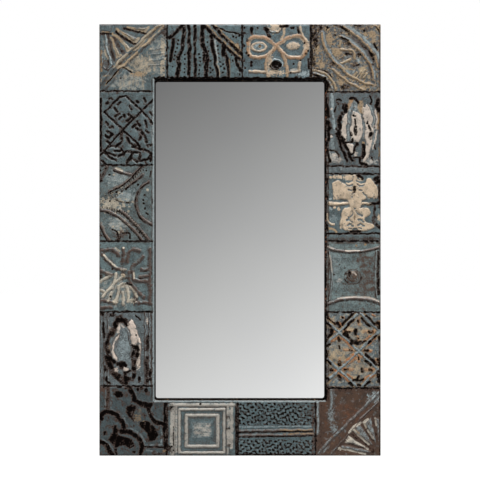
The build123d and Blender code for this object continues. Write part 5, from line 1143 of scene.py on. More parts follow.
def stud_in_pillow(t):
    t.blot((0.76, 0.45), (0.20, 0.33), brown=0.62, ragged=0.4)
    t.blot((0.70, 0.75), (0.14, 0.06), brown=0.7)
    t.blot((0.50, 0.33), (0.16, 0.08), brown=0.35, grime=0.2)
    t.mottle(9.0, 0.30, 71, brown=0.5)
    t.blot((0.15, 0.62), (0.12, 0.30), pale=0.35)
    t.blot((0.35, 0.75), (0.14, 0.10), pale=0.15)
    # The cream and pale lines just above or right of the long ridges are painted highlight.
    t.ridge((0.0, 0.925), (0.12, 0.885), (0.30, 0.86), (0.47, 0.85), (0.64, 0.86), (0.84, 0.885), (1.0, 0.925),
            width=6.5, height=2.2, dark=0.45, light=0.7, brown=0.95)
    t.line((0.05, 0.925), (0.14, 0.90), width=5.0, pale=1.0, cream=0.5)
    t.line((0.36, 0.87), (0.60, 0.868), width=3.6, cream=0.75)
    t.ridge((0.0, 0.105), (0.14, 0.145), (0.30, 0.18), (0.48, 0.19), (0.66, 0.185), (0.84, 0.165), (1.0, 0.115),
            width=7.5, height=2.2, dark=0.45, light=0.75, brown=0.95)
    t.line((0.22, 0.195), (0.45, 0.215), (0.62, 0.215), (0.80, 0.205), (0.96, 0.155), width=4.0, cream=0.7,
           pale=0.9)
    t.ridge((0.06, 0.86), (0.09, 0.72), (0.11, 0.52), (0.09, 0.34), (0.06, 0.18), width=5.5, height=1.5, dark=0.5,
            light=0.6)
    t.line((0.075, 0.80), (0.10, 0.66), (0.12, 0.56), width=4.0, cream=0.65, pale=0.9)
    t.line((0.055, 0.75), (0.06, 0.60), width=5.0, grime=0.5, brown=0.8)
    t.ridge((0.92, 0.86), (0.90, 0.70), (0.89, 0.52), (0.90, 0.34), (0.93, 0.20), width=5.0, height=1.5, dark=0.4,
            light=0.6)
    t.line((0.955, 0.85), (0.95, 0.50), (0.955, 0.25), width=6.5, grime=0.75, brown=0.95)
    t.oval((0.50, 0.505), (0.155, 0.105), height=1.2, soft=5.0, rim=0.5, brown=0.75, tan=0.15)
    t.oval((0.50, 0.51), (0.09, 0.065), height=2.2, soft=6.0, rim=0.5, brown=0.9)
    t.blot((0.43, 0.53), (0.035, 0.05), grime=0.7)
    # painted highlight on the stud's upper right
    t.line((0.48, 0.565), (0.52, 0.56), (0.55, 0.53), width=4.5, cream=1.0, pale=1.0)
    t.dots((0.50, 0.54), size=6.0, height=-0.2, brown=1.0, grime=0.4)
    t.dots((0.37, 0.54), (0.40, 0.425), (0.38, 0.48), (0.15, 0.53), (0.07, 0.46), (0.35, 0.62), (0.25, 0.67),
           size=5.0, height=-0.4, brown=0.9, grime=0.55)
    t.line((0.28, 0.42), (0.40, 0.39), (0.58, 0.41), (0.63, 0.47), width=3.6, grime=0.5, brown=0.5)
    t.blot((0.25, 0.45), (0.05, 0.03), cream=0.4, pale=0.6)
    t.dots((0.56, 0.945), (0.72, 0.955), size=7.0, height=-0.2, brown=0.9, tan=0.7)
    t.line((0.0, 0.975), (1.0, 0.975), width=3.5, grime=0.45)
    t.finish(wear=0.25, dirt=0.3)


def woven_diamonds(t):
    t.mottle(9.0, 0.50, 91, cream=0.42)
    t.mottle(12.0, 0.45, 93, pale=0.5)
    for diamond in (((0.58, 0.93), (0.90, 0.745), (0.60, 0.55), (0.29, 0.74)),
                    ((0.24, 0.69), (0.54, 0.50), (0.25, 0.29), (0.0, 0.46), (0.0, 0.52)),
                    ((0.60, 0.45), (0.90, 0.25), (0.60, 0.04), (0.30, 0.245))):
        t.pad(*diamond, height=0.6, soft=6.0, rim=0.0, cream=0.35, pale=0.2)
    t.blot((0.20, 0.46), (0.14, 0.08), cream=0.6)
    t.blot((0.33, 0.40), (0.035, 0.05), cream=1.0)
    t.blot((0.13, 0.42), (0.05, 0.04), cream=0.95)
    t.blot((0.46, 0.78), (0.06, 0.02), cream=1.0)
    t.blot((0.68, 0.76), (0.08, 0.05), cream=0.5)
    t.blot((0.55, 0.26), (0.10, 0.08), cream=0.45, tan=0.4)
    t.blot((0.54, 0.14), (0.04, 0.02), cream=0.95)
    t.blot((0.13, 0.90), (0.05, 0.03), cream=0.7)
    bars = (
        ((0.0, 0.89), (0.25, 0.725), (0.60, 0.485), (1.0, 0.21)),
        ((0.0, 0.40), (0.24, 0.24), (0.62, -0.02)),
        ((0.62, 1.0), (0.80, 0.87), (1.0, 0.74)),
        ((0.0, 0.08), (0.24, 0.24), (0.60, 0.49), (1.0, 0.765)),
        ((0.0, 0.575), (0.24, 0.73), (0.56, 0.97)),
        ((0.62, 0.0), (0.80, 0.13), (1.0, 0.27)),
    )
    for path in bars:
        for shift in (-0.040, 0.040):
            t.line(*[(u, v + shift) for u, v in path], width=5.0, grime=0.2, brown=0.6, tan=0.6)
    for path in bars:
        t.ridge(*path, width=7.5, height=1.9, dark=0.0, light=0.0)
        field = smooth(bell(t.distance(flow(path)), 7.0), 0.05, 0.4)
        t.wipe(field, "grime", "tan", "cream", "brown", "rust")
        t.mark(field, pale=0.5)
    halos = (
        ((0.16, 0.74), (0.14, 0.74), 8), ((0.26, 0.88), (0.27, 0.82), 7), ((0.20, 0.66), (0.28, 0.66), 9),
        ((0.30, 0.655), (0.38, 0.60), 7), ((0.40, 0.58), (0.48, 0.53), 6), ((0.34, 0.505), (0.50, 0.50), 9),
        ((0.25, 0.40), (0.25, 0.30), 9), ((0.60, 0.42), (0.60, 0.35), 9), ((0.54, 0.38), (0.66, 0.41), 7),
        ((0.70, 0.50), (0.82, 0.49), 9), ((0.32, 0.25), (0.48, 0.24), 10), ((0.71, 0.245), (0.87, 0.245), 9),
        ((0.18, 0.235), (0.13, 0.24), 8), ((0.24, 0.19), (0.27, 0.17), 10), ((0.30, 0.16), (0.42, 0.085), 7),
        ((0.40, 0.19), (0.52, 0.115), 7), ((0.32, 0.75), (0.48, 0.755), 9), ((0.68, 0.75), (0.88, 0.74), 10),
        ((0.60, 0.92), (0.60, 0.84), 9), ((0.58, 0.69), (0.59, 0.63), 7), ((0.70, 0.62), (0.80, 0.69), 7),
        ((0.33, 0.335), (0.50, 0.445), 6), ((0.42, 0.325), (0.55, 0.41), 7), ((0.78, 0.57), (0.90, 0.66), 6),
        ((0.78, 0.16), (0.68, 0.10), 7), ((0.10, 0.61), (0.17, 0.655), 6), ((0.93, 0.36), (0.97, 0.33), 12),
        ((0.95, 0.84), (0.97, 0.86), 13), ((0.84, 0.97), (0.88, 0.96), 7), ((0.30, 0.935), (0.32, 0.935), 8),
        ((0.05, 0.93), (0.16, 0.85), 6), ((0.88, 0.17), (0.80, 0.12), 5),
    )
    for start, end, width in halos:
        t.ridge(start, end, width=width, height=1.1, dark=0.0, light=0.0, tan=0.9, rust=0.55, brown=0.2)
    dashes = (
        ((0.02, 0.86), (0.09, 0.81), 7), ((0.03, 0.94), (0.17, 0.845), 5), ((0.31, 0.845), (0.50, 0.985), 7),
        ((0.33, 0.77), (0.42, 0.84), 5), ((0.41, 0.84), (0.50, 0.905), 7), ((0.33, 0.71), (0.42, 0.66), 7),
        ((0.42, 0.66), (0.49, 0.61), 7), ((0.47, 0.595), (0.62, 0.60), 10), ((0.53, 0.61), (0.55, 0.63), 7),
        ((0.65, 0.92), (0.80, 0.82), 6), ((0.73, 0.955), (0.90, 0.835), 6), ((0.95, 0.86), (0.97, 0.81), 12),
        ((0.77, 0.59), (0.91, 0.69), 6), ((0.67, 0.595), (0.72, 0.62), 6), ((0.73, 0.445), (0.92, 0.31), 7.5),
        ((0.72, 0.36), (0.82, 0.30), 7), ((0.95, 0.36), (0.97, 0.31), 10), ((0.97, 0.68), (0.98, 0.62), 7),
        ((0.96, 0.20), (0.97, 0.10), 12), ((0.50, 0.10), (0.58, 0.10), 7), ((0.43, 0.07), (0.48, 0.03), 7),
        ((0.59, 0.04), (0.62, 0.04), 7), ((0.71, 0.035), (0.80, 0.085), 6), ((0.62, 0.10), (0.68, 0.115), 5),
        ((0.01, 0.615), (0.10, 0.71), 7), ((0.10, 0.76), (0.10, 0.72), 10), ((0.01, 0.55), (0.06, 0.575), 7),
        ((0.015, 0.52), (0.02, 0.41), 6), ((0.02, 0.37), (0.09, 0.315), 6), ((0.09, 0.24), (0.12, 0.24), 8),
        ((0.22, 0.86), (0.25, 0.82), 9), ((0.24, 0.66), (0.25, 0.63), 8), ((0.24, 0.56), (0.25, 0.52), 5),
        ((0.44, 0.50), (0.47, 0.50), 6), ((0.25, 0.34), (0.25, 0.31), 9), ((0.595, 0.40), (0.60, 0.375), 5),
        ((0.71, 0.50), (0.76, 0.495), 7), ((0.66, 0.25), (0.67, 0.225), 8), ((0.34, 0.245), (0.40, 0.245), 5),
        ((0.79, 0.25), (0.83, 0.24), 7), ((0.23, 0.17), (0.26, 0.12), 8), ((0.60, 0.16), (0.56, 0.10), 6),
        ((0.54, 0.77), (0.55, 0.72), 9), ((0.35, 0.745), (0.43, 0.74), 7), ((0.37, 0.72), (0.40, 0.70), 6),
        ((0.79, 0.745), (0.84, 0.74), 8), ((0.59, 0.90), (0.59, 0.87), 6), ((0.58, 0.665), (0.59, 0.65), 4),
        ((0.02, 0.97), (0.04, 0.92), 6), ((0.03, 0.13), (0.05, 0.11), 6), ((0.30, 0.94), (0.31, 0.93), 5),
    )
    for start, end, width in dashes:
        t.line(start, end, width=width, grime=1.0, brown=1.0)
    t.line((0.98, 0.55), (0.98, 0.05), width=4.0, grime=0.7)
    t.line((0.02, 0.015), (0.98, 0.015), width=4.0, brown=0.8)
    t.finish(wear=0.3, dirt=0.2)


BONE = (204, 190, 172)
FLAKY = 3.6  # wear that noise breaks up into flakes; a lower number blends it softly
# name: pattern, seed, height of the field between sunk lines, paint, worn undercoat, unevenness in millimetres,
# raggedness of the wear
TILES = {
    "tile_top_left": (fan_in_corner, 101, 0.2, (80, 95, 98), (161, 148, 127), 0.35, FLAKY),
    "tile_top_1": (reeds_and_rays, 102, 1.3, (82, 102, 106), (150, 140, 126), 0.35, 2.4),
    "tile_top_2": (four_petals, 103, 0.5, (82, 101, 106), (186, 166, 142), 0.35, FLAKY),
    "tile_top_right": (great_leaf, 104, 0.2, (84, 92, 94), (158, 140, 112), 0.35, FLAKY),
    "tile_left_1": (diamond_lattice, 105, 1.1, (84, 100, 103), BONE, 0.35, FLAKY),
    "tile_left_2": (beaded_chevron, 106, 0.3, (92, 106, 107), (172, 162, 144), 0.25, FLAKY),
    "tile_left_3": (butterfly_square, 107, 0.2, (96, 114, 116), (186, 176, 158), 0.3, FLAKY),
    "tile_left_4": (tall_medallion, 108, 0.1, (92, 103, 106), (212, 196, 182), 0.45, 2.2),
    "tile_right_1": (zebra_medallion, 109, 0.2, (86, 97, 100), (200, 186, 172), 0.45, 2.8),
    "tile_right_2": (cross_of_lobes, 110, 0.3, (88, 104, 107), (203, 181, 154), 0.3, FLAKY),
    "tile_right_3": (stud_in_pillow, 111, 0.1, (108, 124, 124), (186, 172, 158), 0.15, 2.2),
    "tile_right_4": (woven_diamonds, 112, 0.2, (96, 106, 108), (176, 156, 126), 0.3, FLAKY),
    "tile_bottom_left": (quatrefoil_scallops, 113, 1.3, (60, 73, 76), (140, 132, 116), 0.4, 1.5),
    "tile_bottom_1": (nested_squares, 114, 0.1, (80, 96, 99), (172, 166, 156), 0.12, 2.6),
    "tile_bottom_2": (double_rail, 115, 1.0, (77, 97, 101), BONE, 0.25, FLAKY),
    "tile_bottom_right": (rays_and_band, 116, 0.1, (70, 48, 33), (186, 178, 164), 0.25, 2.2),
}


# ---------------------------------------------------------------- from a tile's fields to a folded sheet
def outline(tile):
    """The tile's outline, clockwise from the end of a seam, as grid corners; a corner tile has a notch."""
    xs, zs = tile.xs, tile.zs
    west, east, south, north = xs[0], xs[-1], zs[0], zs[-1]
    edge_x, edge_z = OPEN_X + FOLD_RADIUS, OPEN_Z + FOLD_RADIUS
    corners = [(west, south), (west, north), (east, north), (east, south)]
    for index, (x, z) in enumerate(corners):
        if abs(x) < edge_x - NEAR and abs(z) < edge_z - NEAR:
            notch_x, notch_z = math.copysign(edge_x, x), math.copysign(edge_z, z)
            before = corners[index - 1]
            first = (x, notch_z) if before[0] == x else (notch_x, z)
            last = (notch_x, z) if before[0] == x else (x, notch_z)
            corners = corners[:index] + [first, (notch_x, notch_z), last] + corners[index + 1:]
            break
    kinds = [on_fold(a, b) for a, b in zip(corners, corners[1:] + corners[:1])]
    start = next(k for k in range(len(corners)) if kinds[k - 1] == "seam")
    return corners[start:] + corners[:start]


def on_fold(a, b):
    """outer, inner or seam: what the straight side from a to b is."""
    for axis, outer, opening in ((0, OUTER_X, OPEN_X), (1, OUTER_Z, OPEN_Z)):
        if abs(a[axis] - b[axis]) < 1e-6:
            if abs(abs(a[axis]) - (outer - FOLD_RADIUS)) < NEAR / 2:
                return "outer"
            if abs(abs(a[axis]) - (opening + FOLD_RADIUS)) < NEAR / 2:
                return "inner"
    return "seam"


FAN_REACH = 8.0  # how far from the opening's corner the flanges spread to meet
OPENING_ROUND = 5.0  # radius of the opening's corners
CORNER_PARTS = 6  # parts of the quarter turn that a flange makes round an outer corner
FOLD_PARTS = 5
FLANGE_PARTS = 4
GLASS_GAP = 0.3  # between the inner flange's end and the glass
DARKENING_RUN = 20.0  # length of an outer flange over which it darkens by a quarter towards the back
WEAR_RUN = 12.0  # length of flange over which brown, tan and cream fade out


def chains(tile):
    """The folded sides as chains of links: column, row, direction out, direction along, distance to a mitre."""
    corners = outline(tile)
    sides = []
    for a, b in zip(corners, corners[1:] + corners[:1]):
        kind = on_fold(a, b)
        if kind == "seam":
            continue
        length = math.dist(a, b)
        ahead = ((b[0] - a[0]) / length, (b[1] - a[1]) / length)
        span = []
        for axis, lines in ((0, tile.xs), (1, tile.zs)):
            low, high = min(a[axis], b[axis]) - 1e-6, max(a[axis], b[axis]) + 1e-6
            steps = np.arange(np.searchsorted(lines, low), np.searchsorted(lines, high))
            span.append(steps[::-1] if ahead[axis] < -0.5 else steps)
        out = (-ahead[1], ahead[0])
        links = [(i, j, out, (0.0, 0.0), FAR) for i in span[0] for j in span[1]]
        sides.append({"kind": kind, "start": a, "end": b, "ahead": ahead, "out": out, "links": links})
    joined = []
    for side in sides:
        previous = next((c for c in joined if c["end"] == side["start"] and c["kind"] == side["kind"]), None)
        if previous is None:
            joined.append(side)
            continue
        first, last = previous["out"], side["out"]
        if previous["ahead"][0] * last[0] + previous["ahead"][1] * last[1] > 0:  # an outer corner
            i, j = side["links"][0][:2]
            for step in range(1, CORNER_PARTS):
                t = step / CORNER_PARTS * math.pi / 2
                spin = tuple(first[k] * math.cos(t) + last[k] * math.sin(t) for k in (0, 1))
                previous["links"].append((i, j, spin, (0.0, 0.0), FAR))
            previous["links"] += side["links"]
        else:  # the opening's corner
            parts = []
            for links, other in ((previous["links"], last), (side["links"], first)):
                parts.append([(i, j, out, other, math.dist((tile.xs[i], tile.zs[j]), side["start"]))
                              for i, j, out, _, _ in links])
            previous["links"] = parts[0] + parts[1][1:]
        previous.update(end=side["end"], ahead=side["ahead"], out=last)
    return joined


def fold_spots(root, out, other, away, step_out):
    """Where the links lie once the sheet has gone a step outwards; mitred and rounded at an opening's corner."""
    share = np.clip(1 - away / FAN_REACH, 0, 1)
    spots = root + out * step_out + other * (share * step_out)[:, None]
    left = away + share * step_out - step_out
    turn = np.clip(1 - left / OPENING_ROUND, 0, 1) * math.pi / 4
    near = left < OPENING_ROUND
    along = np.where(near, OPENING_ROUND * (1 - np.sin(turn)) - left, 0)
    inwards = np.where(near, OPENING_ROUND * (1 - np.cos(turn)), 0)
    return spots + (other * along[:, None] + out * inwards[:, None]) * (step_out / FOLD_RADIUS)


def fold_profile(end_y):
    """(out, back) steps of a flange from the flat face, round the fold and back to its end."""
    turns = [math.pi / 2 * part / FOLD_PARTS for part in range(1, FOLD_PARTS + 1)]
    steps = [(FOLD_RADIUS * math.sin(t), FOLD_RADIUS * (1 - math.cos(t))) for t in turns]
    straight = end_y - FACE_Y - FOLD_RADIUS
    for part in range(1, FLANGE_PARTS + 1):
        steps.append((FOLD_RADIUS, FOLD_RADIUS + straight * part / FLANGE_PARTS))
    return steps


def flange_mark(kind, own, run, bent, inner, lit_share, specks):
    """What a mark at the edge of the face becomes on a flange, some millimetres past that edge, with painted shade
    and highlight.
    """
    # Painted shade darkens the inner flanges, apart from the share that faces the light, which gets a painted
    # highlight; the outer ones get painted shade at the bend and darken towards the back.
    if kind == "grime" and inner:
        own = np.maximum(own * (1 - lit_share), 1 - lit_share) * (1 - specks)
    elif kind == "grime":
        own = np.maximum(own * (1 if bent else 0.45), 0.3 if bent else 0.08 + 0.25 * (run / DARKENING_RUN))
    elif kind == "pale":
        own = np.maximum(own * (1 if bent else 0.3), lit_share * 0.75 * inner)
    elif kind == "rust":
        own = np.maximum(own, specks)
    elif kind == "brown":
        own = np.maximum(own, 0.45) * (1 if inner or not bent else 0.6)
    if kind not in ("grime", "rust", "pale") and not bent:
        own = own * max(0.0, 1 - run / WEAR_RUN)
    return own


def added(name, data):
    """A new object in the scene for a mesh, a lamp or a camera."""
    thing = bpy.data.objects.new(name, data)
    bpy.context.scene.collection.objects.link(thing)
    return thing


def sheet_mesh(name, points, flat, faces, marks):
    """A mesh of the points that faces use, with a flat layout as its UV map and the marks as attributes."""
    used = np.unique(faces)
    renumber = np.zeros(len(points), int)
    renumber[used] = np.arange(len(used))
    mesh = bpy.data.meshes.new(name)
    corners = [[v for k, v in enumerate(face) if v != face[k - 1]] for face in renumber[faces].tolist()]
    mesh.from_pydata((points[used] * MM).tolist(), [], corners)
    mesh.validate()
    for kind, values in marks.items():
        attribute = mesh.attributes.new(kind, "FLOAT", "POINT")
        attribute.data.foreach_set("value", values[used].astype(np.float32))
    low, high = flat[used].min(0), flat[used].max(0)
    uv = mesh.uv_layers.new(name="OFBake")
    spread = (flat[used] - low) / (high - low)
    loops = np.zeros(len(mesh.loops), int)
    mesh.loops.foreach_get("vertex_index", loops)
    uv.data.foreach_set("uv", spread[loops].astype(np.float32).reshape(-1))
    mesh.shade_smooth()
    return mesh


def build_tile(name, pattern, seed, base, paint, undercoat, wobble, raggedness):
    """One tile: its pressed face, with a flange over each side that isn't a seam."""
    tile = Tile(name, seed, base, wobble)
    pattern(tile)
    columns, rows = tile.x.shape
    middle_x = (tile.xs[:-1] + tile.xs[1:]) / 2
    middle_z = (tile.zs[:-1] + tile.zs[1:]) / 2
    covered = ~((np.abs(middle_x)[:, None] < OPEN_X + FOLD_RADIUS - 0.01)
                & (np.abs(middle_z)[None, :] < OPEN_Z + FOLD_RADIUS - 0.01))
    number = np.arange(columns * rows).reshape(columns, rows)
    faces = [np.stack([number[:-1, :-1], number[1:, :-1], number[1:, 1:], number[:-1, 1:]], axis=-1)[covered]]
    points = [np.stack([tile.x, FACE_Y - tile.height, tile.z], axis=-1).reshape(-1, 3)]
    flat = [np.stack([tile.x, tile.z], axis=-1).reshape(-1, 2)]
    marks = {kind: [tile.marks[kind].reshape(-1)] for kind in KINDS}
    count = columns * rows
    for chain in chains(tile):
        links = chain["links"]
        inner = chain["kind"] == "inner"
        start = np.array([number[i, j] for i, j, _, _, _ in links])
        root = np.array([(tile.xs[i], tile.zs[j]) for i, j, _, _, _ in links])
        out, other, away = (np.array([link[part] for link in links]) for part in (2, 3, 4))
        previous = start
        run = 0.0
        last = (0.0, 0.0)
        for step_out, step_back in fold_profile(GLASS_FRONT_Y - GLASS_GAP if inner else OUTER_END_Y):
            run += math.hypot(step_out - last[0], step_back - last[1])
            last = (step_out, step_back)
            spots = fold_spots(root, out, other, away, step_out)
            points.append(np.stack([spots[:, 0], np.full(len(links), FACE_Y + step_back), spots[:, 1]], axis=-1))
            flat.append(root + out * run)
            numbers = count + np.arange(len(links))
            count += len(links)
            faces.append(np.stack([numbers[:-1], previous[:-1], previous[1:], numbers[1:]], axis=-1))
            bent = step_back <= FOLD_RADIUS
            # the share of an inner flange near the fold that faces up or to the right, toward the light: spared the
            # painted shade and given a painted highlight
            facing = np.clip(out[:, 0], 0, 1) + np.clip(out[:, 1], 0, 1)
            lit_share = facing * (1 - 0.95 * float(smooth(step_back, 1.2, 3.2)))
            specks = smooth(waves(root[:, 0], root[:, 1] + 2 * step_back, 10.0, seed + 8), 1.2, 1.7)
            specks = specks * (out[:, 0] < -0.5) * inner
            for kind in KINDS:
                own = tile.marks[kind].reshape(-1)[start]
                marks[kind].append(flange_mark(kind, own, run, bent, inner, lit_share, specks))
            previous = numbers
    mesh = sheet_mesh(name + "_sheet", np.concatenate(points), np.concatenate(flat), np.concatenate(faces),
                      {kind: np.concatenate(marks[kind]) for kind in KINDS})
    mesh.materials.append(tin_paint("tin_" + name, paint, undercoat, raggedness))
    piece = added(name + "_sheet", mesh)
    solid = piece.modifiers.new("sheet thickness", "SOLIDIFY")
    solid.thickness = TIN * MM
    solid.offset = -1.0
    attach(piece, "frame")
    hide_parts(name)


# ---------------------------------------------------------------- materials
class Nodes:
    """Short ways to add and link the shader nodes of a material or a world."""

    def __init__(self, owner):
        self.owner = owner
        owner.use_nodes = True
        self.tree = owner.node_tree
        self.shader = self.tree.nodes.get("Principled BSDF") or self.tree.nodes["Background"]

    def add(self, kind, **settings):
        node = self.tree.nodes.new("ShaderNode" + kind)
        for key, value in settings.items():
            if hasattr(node, key):
                setattr(node, key, value)
            else:
                node.inputs[key].default_value = value
        return node

    def link(self, source, target):
        self.tree.links.new(source, target)

    def value(self, target, source):
        if hasattr(source, "is_output"):
            self.link(source, target)
        else:
            target.default_value = source

    def shade(self, **sockets):
        """Sets or links the shader's sockets, with _ for each space in a name."""
        for name, source in sockets.items():
            self.value(self.shader.inputs[name.replace("_", " ")], source)

    def math(self, operation, a, b=0.0, c=0.0):
        node = self.add("Math", operation=operation)
        for target, source in zip(node.inputs, (a, b, c)):
            self.value(target, source)
        return node.outputs[0]

    def ramp(self, source, low, high, to_low=0.0, to_high=1.0):
        node = self.add("MapRange", interpolation_type="SMOOTHSTEP")
        for target, value in zip(node.inputs, (source, low, high, to_low, to_high)):
            self.value(target, value)
        return node.outputs[0]

    def mix(self, share, a, b):
        node = self.add("Mix", data_type="RGBA")
        self.value(node.inputs[0], share)
        self.value(node.inputs[6], a)
        self.value(node.inputs[7], b)
        return node.outputs[2]

    def noise(self, scale, detail=4.0, roughness=0.55, stretch=(1, 1, 1)):
        place = self.add("TexCoord").outputs["Object"]
        if stretch != (1, 1, 1):
            mapping = self.add("Mapping", Scale=stretch)
            self.link(place, mapping.inputs[0])
            place = mapping.outputs[0]
        node = self.add("TexNoise", Scale=scale, Detail=detail, Roughness=roughness)
        self.link(place, node.inputs["Vector"])
        return node.outputs[0]

    def mark(self, name):
        return self.add("Attribute", attribute_name=name).outputs["Fac"]

    def bump(self, source, strength, distance):
        node = self.add("Bump", Strength=strength, Distance=distance)
        self.link(source, node.inputs["Height"])
        self.shade(Normal=node.outputs[0])


def tin_paint(name, paint, undercoat, raggedness):
    """Distressed paint on pressed tin, with painted shade and highlight: the marks say where it is worn, dirty,
    shaded or lit, and noise breaks their edges up.
    """
    n = Nodes(bpy.data.materials.new(name))
    fine = n.noise(1100, 4, 0.6)
    medium = n.noise(420, 5, 0.6)
    large = n.noise(190, 4, 0.6)
    coarse = n.noise(60, 4, 0.6)
    broken = n.math("ADD", n.math("MULTIPLY", large, 0.30),
                    n.math("MULTIPLY_ADD", medium, 0.20, n.math("MULTIPLY", fine, 0.50)))
    ragged = n.math("MULTIPLY_ADD", broken, raggedness, 1 - raggedness / 2)

    def worn(kind, low=0.05, high=0.95, most=1.0):
        return n.ramp(n.math("MULTIPLY", n.mark(kind), ragged), low, high, 0.0, most)

    base = srgb(*paint)
    darker = srgb(*[0.62 * c for c in paint])
    lighter = srgb(*[min(255, 1.25 * c + 10) for c in paint])
    stained = srgb(*[0.45 * c + 0.55 * d for c, d in zip(paint, (60, 46, 36))])
    colour = n.mix(n.ramp(coarse, 0.36, 0.60), darker, base)
    colour = n.mix(n.ramp(large, 0.46, 0.64, 0, 0.55), colour, stained)
    colour = n.mix(n.ramp(medium, 0.44, 0.68, 0, 0.45), colour, lighter)
    # the pale colour is worn paint and painted highlight
    colour = n.mix(worn("pale", most=0.92), colour, srgb(150, 163, 165))
    # brown, also as a fringe round the dark marks, which are partly painted shade
    brown = n.math("MAXIMUM", worn("brown", most=0.95), worn("grime", 0.05, 0.5, 0.85))
    colour = n.mix(brown, colour, srgb(72, 50, 38))
    colour = n.mix(worn("tan", most=0.9), colour, srgb(158, 132, 98))
    colour = n.mix(worn("rust", most=0.9), colour, srgb(160, 88, 40))
    flecks = n.ramp(n.noise(360, 3, 0.55), 0.57, 0.66, 0, 0.8)
    colour = n.mix(flecks, colour, srgb(30, 24, 21))
    dull = srgb(*[0.80 * c for c in undercoat])
    bright = srgb(*[min(255, 1.08 * c) for c in undercoat])
    clouded = n.math("ADD", n.math("MULTIPLY", coarse, 0.5), n.math("MULTIPLY", fine, 0.5))
    cream = n.mix(n.ramp(clouded, 0.38, 0.60), dull, bright)
    colour = n.mix(worn("cream", 0.08, 0.85, 0.96), colour, cream)
    # near black for grime and painted shade, which also loses its specular sheen
    grime = worn("grime", 0.22, 0.90)
    colour = n.mix(grime, colour, srgb(13, 10, 9))
    n.shade(Base_Color=colour, Roughness=n.ramp(broken, 0.35, 0.65, 0.42, 0.62),
            Specular_IOR_Level=n.ramp(grime, 0.0, 1.0, 0.4, 0.0))
    n.bump(broken, 0.5, 0.0005)
    return n.owner


def mirror_silver():
    """Silvered glass, which reflects almost all light sharply."""
    n = Nodes(bpy.data.materials.new("mirror_silver"))
    faint = n.ramp(n.noise(3, 2), 0.3, 0.7)
    n.shade(Metallic=1.0, Roughness=0.012, Base_Color=n.mix(faint, srgb(246, 247, 247), srgb(250, 251, 250)))
    return n.owner


GAP_SHADE_Y = (-0.0280, -0.0295)  # metres; the boards' front, seen only in the seams, is painted near black between these as shade in the gaps


def wood(name, light, dark, stretch):
    """Timber with its grain along the axis that is stretched least often."""
    n = Nodes(bpy.data.materials.new(name))
    grain = n.noise(26, 6, 0.6, stretch)
    fine = n.noise(160, 4, 0.6, stretch)
    both = n.math("ADD", n.math("MULTIPLY", grain, 0.65), n.math("MULTIPLY", fine, 0.35))
    colour = n.mix(n.ramp(both, 0.35, 0.65), srgb(*dark), srgb(*light))
    # the front of the boards, seen in the gaps between tiles, is painted near black as shade
    split = n.add("SeparateXYZ")
    n.link(n.add("TexCoord").outputs["Object"], split.inputs[0])
    colour = n.mix(n.ramp(split.outputs[1], *GAP_SHADE_Y), colour, srgb(16, 13, 12))
    n.shade(Base_Color=colour, Roughness=n.ramp(fine, 0.3, 0.7, 0.55, 0.75))
    n.bump(both, 0.25, 0.0005)
    return n.owner


def board(name, light, dark, scale, rough):
    """Pressed fibre board or card."""
    n = Nodes(bpy.data.materials.new(name))
    speckle = n.noise(scale, 5, 0.7)
    cloud = n.noise(9, 3, 0.5)
    both = n.math("ADD", n.math("MULTIPLY", speckle, 0.7), n.math("MULTIPLY", cloud, 0.3))
    n.shade(Base_Color=n.mix(n.ramp(both, 0.36, 0.64), srgb(*dark), srgb(*light)), Roughness=rough)
    n.bump(speckle, 0.2, 0.0003)
    return n.owner


def steel(name, light, dark, rough):
    """Plated or rusty steel, with faint scuffs."""
    n = Nodes(bpy.data.materials.new(name))
    scuff = n.noise(900, 4, 0.6, (1, 0.3, 1))
    n.shade(Metallic=1.0, Base_Color=n.mix(n.ramp(scuff, 0.35, 0.7), srgb(*dark), srgb(*light)),
            Roughness=n.ramp(scuff, 0.3, 0.7, rough, rough + 0.18))
    n.bump(scuff, 0.12, 0.0002)
    return n.owner


def rubber():
    """Dull black rubber with a fine grit."""
    n = Nodes(bpy.data.materials.new("bumper_rubber_skin"))
    grit = n.noise(1200, 3, 0.6)
    n.shade(Base_Color=n.mix(n.ramp(grit, 0.3, 0.7), srgb(26, 26, 27), srgb(44, 44, 45)), Roughness=0.85)
    n.bump(grit, 0.25, 0.0003)
    return n.owner


def dress(node, material):
    """Gives a carried-over CAD node its material."""
    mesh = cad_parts[node].data
    mesh.materials.clear()
    mesh.materials.append(material)


# ---------------------------------------------------------------- screws
SCREW_HEAD_HEIGHT = 2.0
SCREW_HEAD = ((3.8, 0.0), (3.8, 0.35), (3.6, 0.85), (3.05, 1.35), (2.1, 1.75), (1.0, 1.95))  # radius and height
SCREW_SHANK_RADIUS = 1.85
SCREW_TIP = 3.0  # length of the point
RECESS_REACH = 2.3  # from the screw's axis to the end of each arm of the cross
RECESS_HALF_WIDTH = 0.5
RECESS_FLOOR = 0.8  # height above the head's seat
SCREW_SIDES = 32
FIRST_TURN, NEXT_TURN = 0.3, 1.1  # radians, so that no two crosses stand alike
SHARP_EDGE = math.radians(35)


def closed_mesh(name, points, faces):
    """A mesh of a closed shell, with its faces turned outwards."""
    mesh = bpy.data.meshes.new(name)
    mesh.from_pydata(points, [], faces)
    shell = bmesh.new()
    shell.from_mesh(mesh)
    bmesh.ops.recalc_face_normals(shell, faces=shell.faces)
    shell.to_mesh(mesh)
    shell.free()
    return mesh


